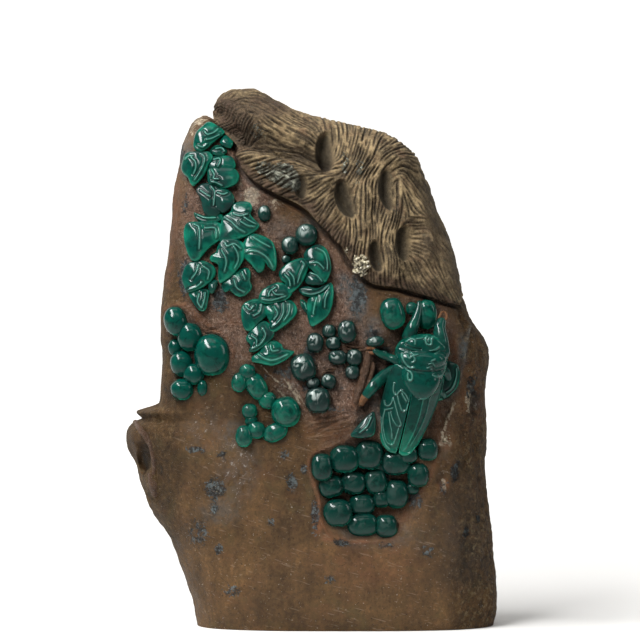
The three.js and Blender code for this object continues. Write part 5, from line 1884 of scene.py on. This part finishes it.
class CARVING_OT_cicada(bpy.types.Operator):
    """Carve the cicada: body, wings and legs."""

    bl_idname = "carving.cicada"
    bl_label = "Cicada"

    def execute(self, context):
        piece = Gathering()
        ball = Ball(*TRUNK_BALL)
        self.trunk(piece, ball)
        ball.remove()
        ball = Ball(*WING_BALL)
        for side in WINGS:
            self.wing(piece, ball, side, context.scene.carving_sizes.vein_height / MM)
        ball.remove()
        ball = Ball(*LIMB_BALL)
        for row in LEGS.values():
            shaped, _ = ball.placed(tube_places(ball, limb(row)))
            piece.add(shaped, thin=0.25, smoke=0.35)
        ball.remove()
        piece.finish("cicada", "green_stone", material("polished_stone"), GREEN_CREASE)
        return {"FINISHED"}

    def trunk(self, piece, ball):
        u, v, spread, wall = outline_places(ball, TRUNK)
        ground = TRUNK_BASE + TRUNK_SWELL * np.sqrt(np.clip(1 - spread ** 2, 0, 1))
        total = np.exp(TRUNK_CREASE * ground)
        for along, across, half_along, half_across, height, skew in TRUNK_FORMS:
            aside = v - across
            away = ((u - along - skew * aside) / half_along) ** 2 + (aside / half_across) ** 2
            form = ground + (height - ground) * np.sqrt(np.clip(1 - away, 0, 1))
            total = total + np.exp(TRUNK_CREASE * form)
        lines = carve(u, v, BODY_LINES) * smooth((1 - spread) * 8)
        top = np.log(total) / TRUNK_CREASE + lines - rounding(spread, 1.5)
        up = top + (WING_ROOT - top) * wall
        shaped, _ = ball.placed(on_cicada(np.stack([u, v, up], 1)))
        # Painted highlight on the raised lines, and painted shade in the cut ones.
        piece.add(shaped, thin=0.12 + 0.3 * smooth((spread - 0.85) / 0.15), smoke=0.1,
                  line=np.clip(lines, 0, 0.8), dim=np.clip(-lines, 0, 0.5))

    def wing(self, piece, ball, side, height):
        dull, bright, light = WING_STONE[side]
        u, v, spread, wall = outline_places(ball, WINGS[side])
        out = np.clip(np.abs(v) / WING_HALF, 0, 1)
        ridge, edge = reading(WING_ROOF, u, 1), reading(WING_ROOF, u, 2)
        roof = ridge + (edge - ridge) * out + WING_BULGE * np.sin(math.pi * out)
        veins = np.zeros(u.shape)
        for row in WING_VEINS[side]:
            gap = VEIN_REACH * nearness(u, v, row, VEIN_REACH) / VEIN_WIDTH
            veins = np.maximum(veins, np.exp(-(gap ** 2) * 2.2))
        inside = smooth((1 - spread) * 6)
        top = roof + height * (veins * 1.2 - 0.5) * inside + 0.45 * smooth((spread - 0.9) / 0.06)
        top = top - rounding(spread, 0.8)
        up = top + (WING_ROOT - top) * wall
        shaped, _ = ball.placed(on_cicada(np.stack([u, v, up], 1)))
        thin = light + 0.25 * smooth((spread - 0.9) / 0.1) + smooth((-12 - u) / 14) * 0.5
        # The veins get a painted highlight as well as their pale colour.
        piece.add(shaped, thin=np.clip(thin, 0, 1), smoke=dull, line=veins * bright,
                  glare=0.15 * veins * bright, dim=0.25 * inside * smooth(1 - 2 * veins))


class CARVING_OT_stems(bpy.types.Operator):
    """Carve the brown stems and the cicada's claws."""

    bl_idname = "carving.stems"
    bl_label = "Stems and claws"

    def execute(self, context):
        piece = Gathering()
        ball = Ball(*STEM_BALL)
        for row in CLAWS.values():
            shaped, _ = ball.placed(tube_places(ball, limb(row)))
            piece.add(shaped, pale=0.1, rust=0.7)
        for row in STEMS.values():
            x, z, up, radius = fours(row).T
            places = tube_places(ball, np.stack([x, face_at(x, z) - up, z, radius], 1))
            shaped, ways = ball.placed(places)
            moved(shaped, places + ways * (0.35 * wander(places, 3, 9))[:, None])
            piece.add(shaped, rust=0.3, dark=0.4, carved=0.6)
        piece.finish("stems_and_claws", "brown_skin", material("rubbed_skin"))
        ball.remove()
        return {"FINISHED"}


def crown_face(x, z):
    """The y of the crown's front at a place, found from its loops."""
    stations = np.linspace(0, 1, 200)
    turns = np.linspace(0.02, CROWN_FRONT_SHARE, 120)
    turn, station = (grid.ravel() for grid in np.meshgrid(turns, stations))
    places, _ = crown_point(turn, station)
    nearest = np.argmin(np.hypot(places[:, 0] - x, places[:, 2] - z))
    return places[nearest, 1]


class CARVING_OT_crystals(bpy.types.Operator):
    """Set the crusts of small crystals."""

    bl_idname = "carving.crystals"
    bl_label = "Crystals"

    def execute(self, context):
        chance = random.Random(5)
        made = bmesh.new()
        for middle_x, middle_z, half_wide, half_high, count, largest, on_crown in CRUSTS:
            for _ in range(count):
                turn, out = chance.uniform(0, 2 * math.pi), chance.uniform(0, 1) ** 0.6
                x = middle_x + half_wide * out * math.cos(turn)
                z = middle_z + half_high * out * math.sin(turn)
                y = crown_face(x, z) if on_crown else float(face_at(x, z))
                size = largest * chance.uniform(0.5, 1) * (1.1 - 0.5 * out)
                proud = 0.6 * largest * (1 - out * out)
                self.crystal(made, Vector((x, y - proud, z)) * MM, size * MM, chance)
        mesh = bpy.data.meshes.new("crystals")
        made.to_mesh(mesh)
        made.free()
        stand_in("crystals", mesh, material("crystal_crust"))
        return {"FINISHED"}

    def crystal(self, made, place, size, chance):
        """A short six-sided crystal with a pointed top."""
        grown = bmesh.ops.create_cone(
            made, cap_ends=True, segments=6, radius1=size * 0.55, radius2=size * 0.5,
            depth=size * 1.1)["verts"]
        top = [v for v in grown if v.co.z > 0]
        cap = [f for f in set(f for v in top for f in v.link_faces) if all(v in top for v in f.verts)]
        tip = bmesh.ops.poke(made, faces=cap)["verts"]
        bmesh.ops.translate(made, verts=tip, vec=(0, 0, size * 0.5))
        way = Vector((chance.gauss(0, 0.9), -1, chance.gauss(0, 0.9)))
        turned = way.to_track_quat("Z", "Y").to_matrix()
        bmesh.ops.rotate(made, verts=grown + tip, matrix=turned)
        bmesh.ops.translate(made, verts=grown + tip, vec=place)


class CARVING_OT_stage(bpy.types.Operator):
    """Set the pale floor, the lights and the camera."""

    bl_idname = "carving.stage"
    bl_label = "Stage"

    def execute(self, context):
        self.floor(context)
        for row in STRIPS:
            self.strip(context, *row)
        world = bpy.data.worlds.new("studio")
        world.use_nodes = True
        background = world.node_tree.nodes["Background"]
        background.inputs["Color"].default_value = (1, 1, 1, 1)
        background.inputs["Strength"].default_value = STUDIO_LIGHT
        context.scene.world = world
        context.scene.view_settings.view_transform = "Standard"
        camera = bpy.data.objects.new("camera", bpy.data.cameras.new("camera"))
        camera.data.lens = CAMERA_LENS
        camera.data.sensor_width = CAMERA_SENSOR
        camera.data.clip_start = 0.05
        camera.data.clip_end = 50
        camera.location = CAMERA_PLACE
        camera.rotation_euler = (math.radians(90), 0, 0)
        context.scene.collection.objects.link(camera)
        context.scene.camera = camera
        return {"FINISHED"}

    def strip(self, context, name, start, end, width, power):
        """A soft box as long as the way from start to end, turned towards the carving."""
        start, end = Vector(start), Vector(end)
        middle = (start + end) / 2
        away = (middle - Vector(LIT_PLACE)).normalized()
        along = (start - end).normalized()
        aside = along.cross(away).normalized()
        away = aside.cross(along)
        lamp = bpy.data.lights.new(name, "AREA")
        lamp.shape = "RECTANGLE"
        lamp.size, lamp.size_y = width, (start - end).length
        lamp.energy = power
        holder = bpy.data.objects.new(name, lamp)
        holder.matrix_world = Matrix((aside, along, away)).transposed().to_4x4()
        holder.location = middle
        context.scene.collection.objects.link(holder)

    def floor(self, context):
        """A floor that sweeps up into a backdrop."""
        made = bmesh.new()
        verts = [made.verts.new((-FLOOR_HALF, y, z)) for y, z in BACKDROP]
        edges = [made.edges.new(ends) for ends in zip(verts, verts[1:])]
        wide = bmesh.ops.extrude_edge_only(made, edges=edges)["geom"]
        bmesh.ops.translate(made, verts=[v for v in wide if isinstance(v, bmesh.types.BMVert)],
                            vec=(2 * FLOOR_HALF, 0, 0))
        bmesh.ops.recalc_face_normals(made, faces=made.faces[:])
        mesh = bpy.data.meshes.new("floor")
        made.to_mesh(mesh)
        made.free()
        mesh.shade_smooth()
        pale = Finish("pale_floor")
        back = pale.node("ShaderNodeSeparateXYZ", {}, {"Vector": pale.place}, "Y")
        base = pale.mix((0.24, 0.24, 0.24), (0.86, 0.85, 0.83), pale.step(back, -0.3, -0.03))
        glow = pale.mix((0, 0, 0), (1.0, 0.99, 0.965), pale.step(back, 0.1, 1.6))
        mesh.materials.append(pale.done(
            Base_Color=base, Roughness=0.9, Emission_Color=glow, Emission_Strength=0.75))
        floor = bpy.data.objects.new("floor", mesh)
        context.scene.collection.objects.link(floor)


STEPS = (
    CARVING_OT_stage,
    CARVING_OT_boulder,
    CARVING_OT_crown,
    CARVING_OT_leaves,
    CARVING_OT_berries,
    CARVING_OT_cicada,
    CARVING_OT_stems,
    CARVING_OT_crystals,
)


class CARVING_PT_panel(bpy.types.Panel):
    """The steps of the carving, in order."""

    bl_idname = "CARVING_PT_panel"
    bl_label = "Carved boulder"
    bl_space_type = "VIEW_3D"
    bl_region_type = "UI"
    bl_category = "Carving"

    def draw(self, context):
        for step in STEPS:
            self.layout.operator(step.bl_idname)
        for group in (context.scene.carving_sizes, context.scene.carving_colours):
            for name in group.__annotations__:
                self.layout.prop(group, name)


CLASSES = (CarvingSizes, CarvingColours, *STEPS, CARVING_PT_panel)


def register():
    for each in CLASSES:
        bpy.utils.register_class(each)
    bpy.types.Scene.carving_sizes = bpy.props.PointerProperty(type=CarvingSizes)
    bpy.types.Scene.carving_colours = bpy.props.PointerProperty(type=CarvingColours)


def unregister():
    del bpy.types.Scene.carving_colours
    del bpy.types.Scene.carving_sizes
    for each in reversed(CLASSES):
        bpy.utils.unregister_class(each)


def main():
    register()
    bpy.ops.carving.stage()
    bpy.ops.carving.boulder()
    bpy.ops.carving.crown()
    bpy.ops.carving.leaves()
    bpy.ops.carving.berries()
    bpy.ops.carving.cicada()
    bpy.ops.carving.stems()
    bpy.ops.carving.crystals()


if __name__ == "__main__":
    main()
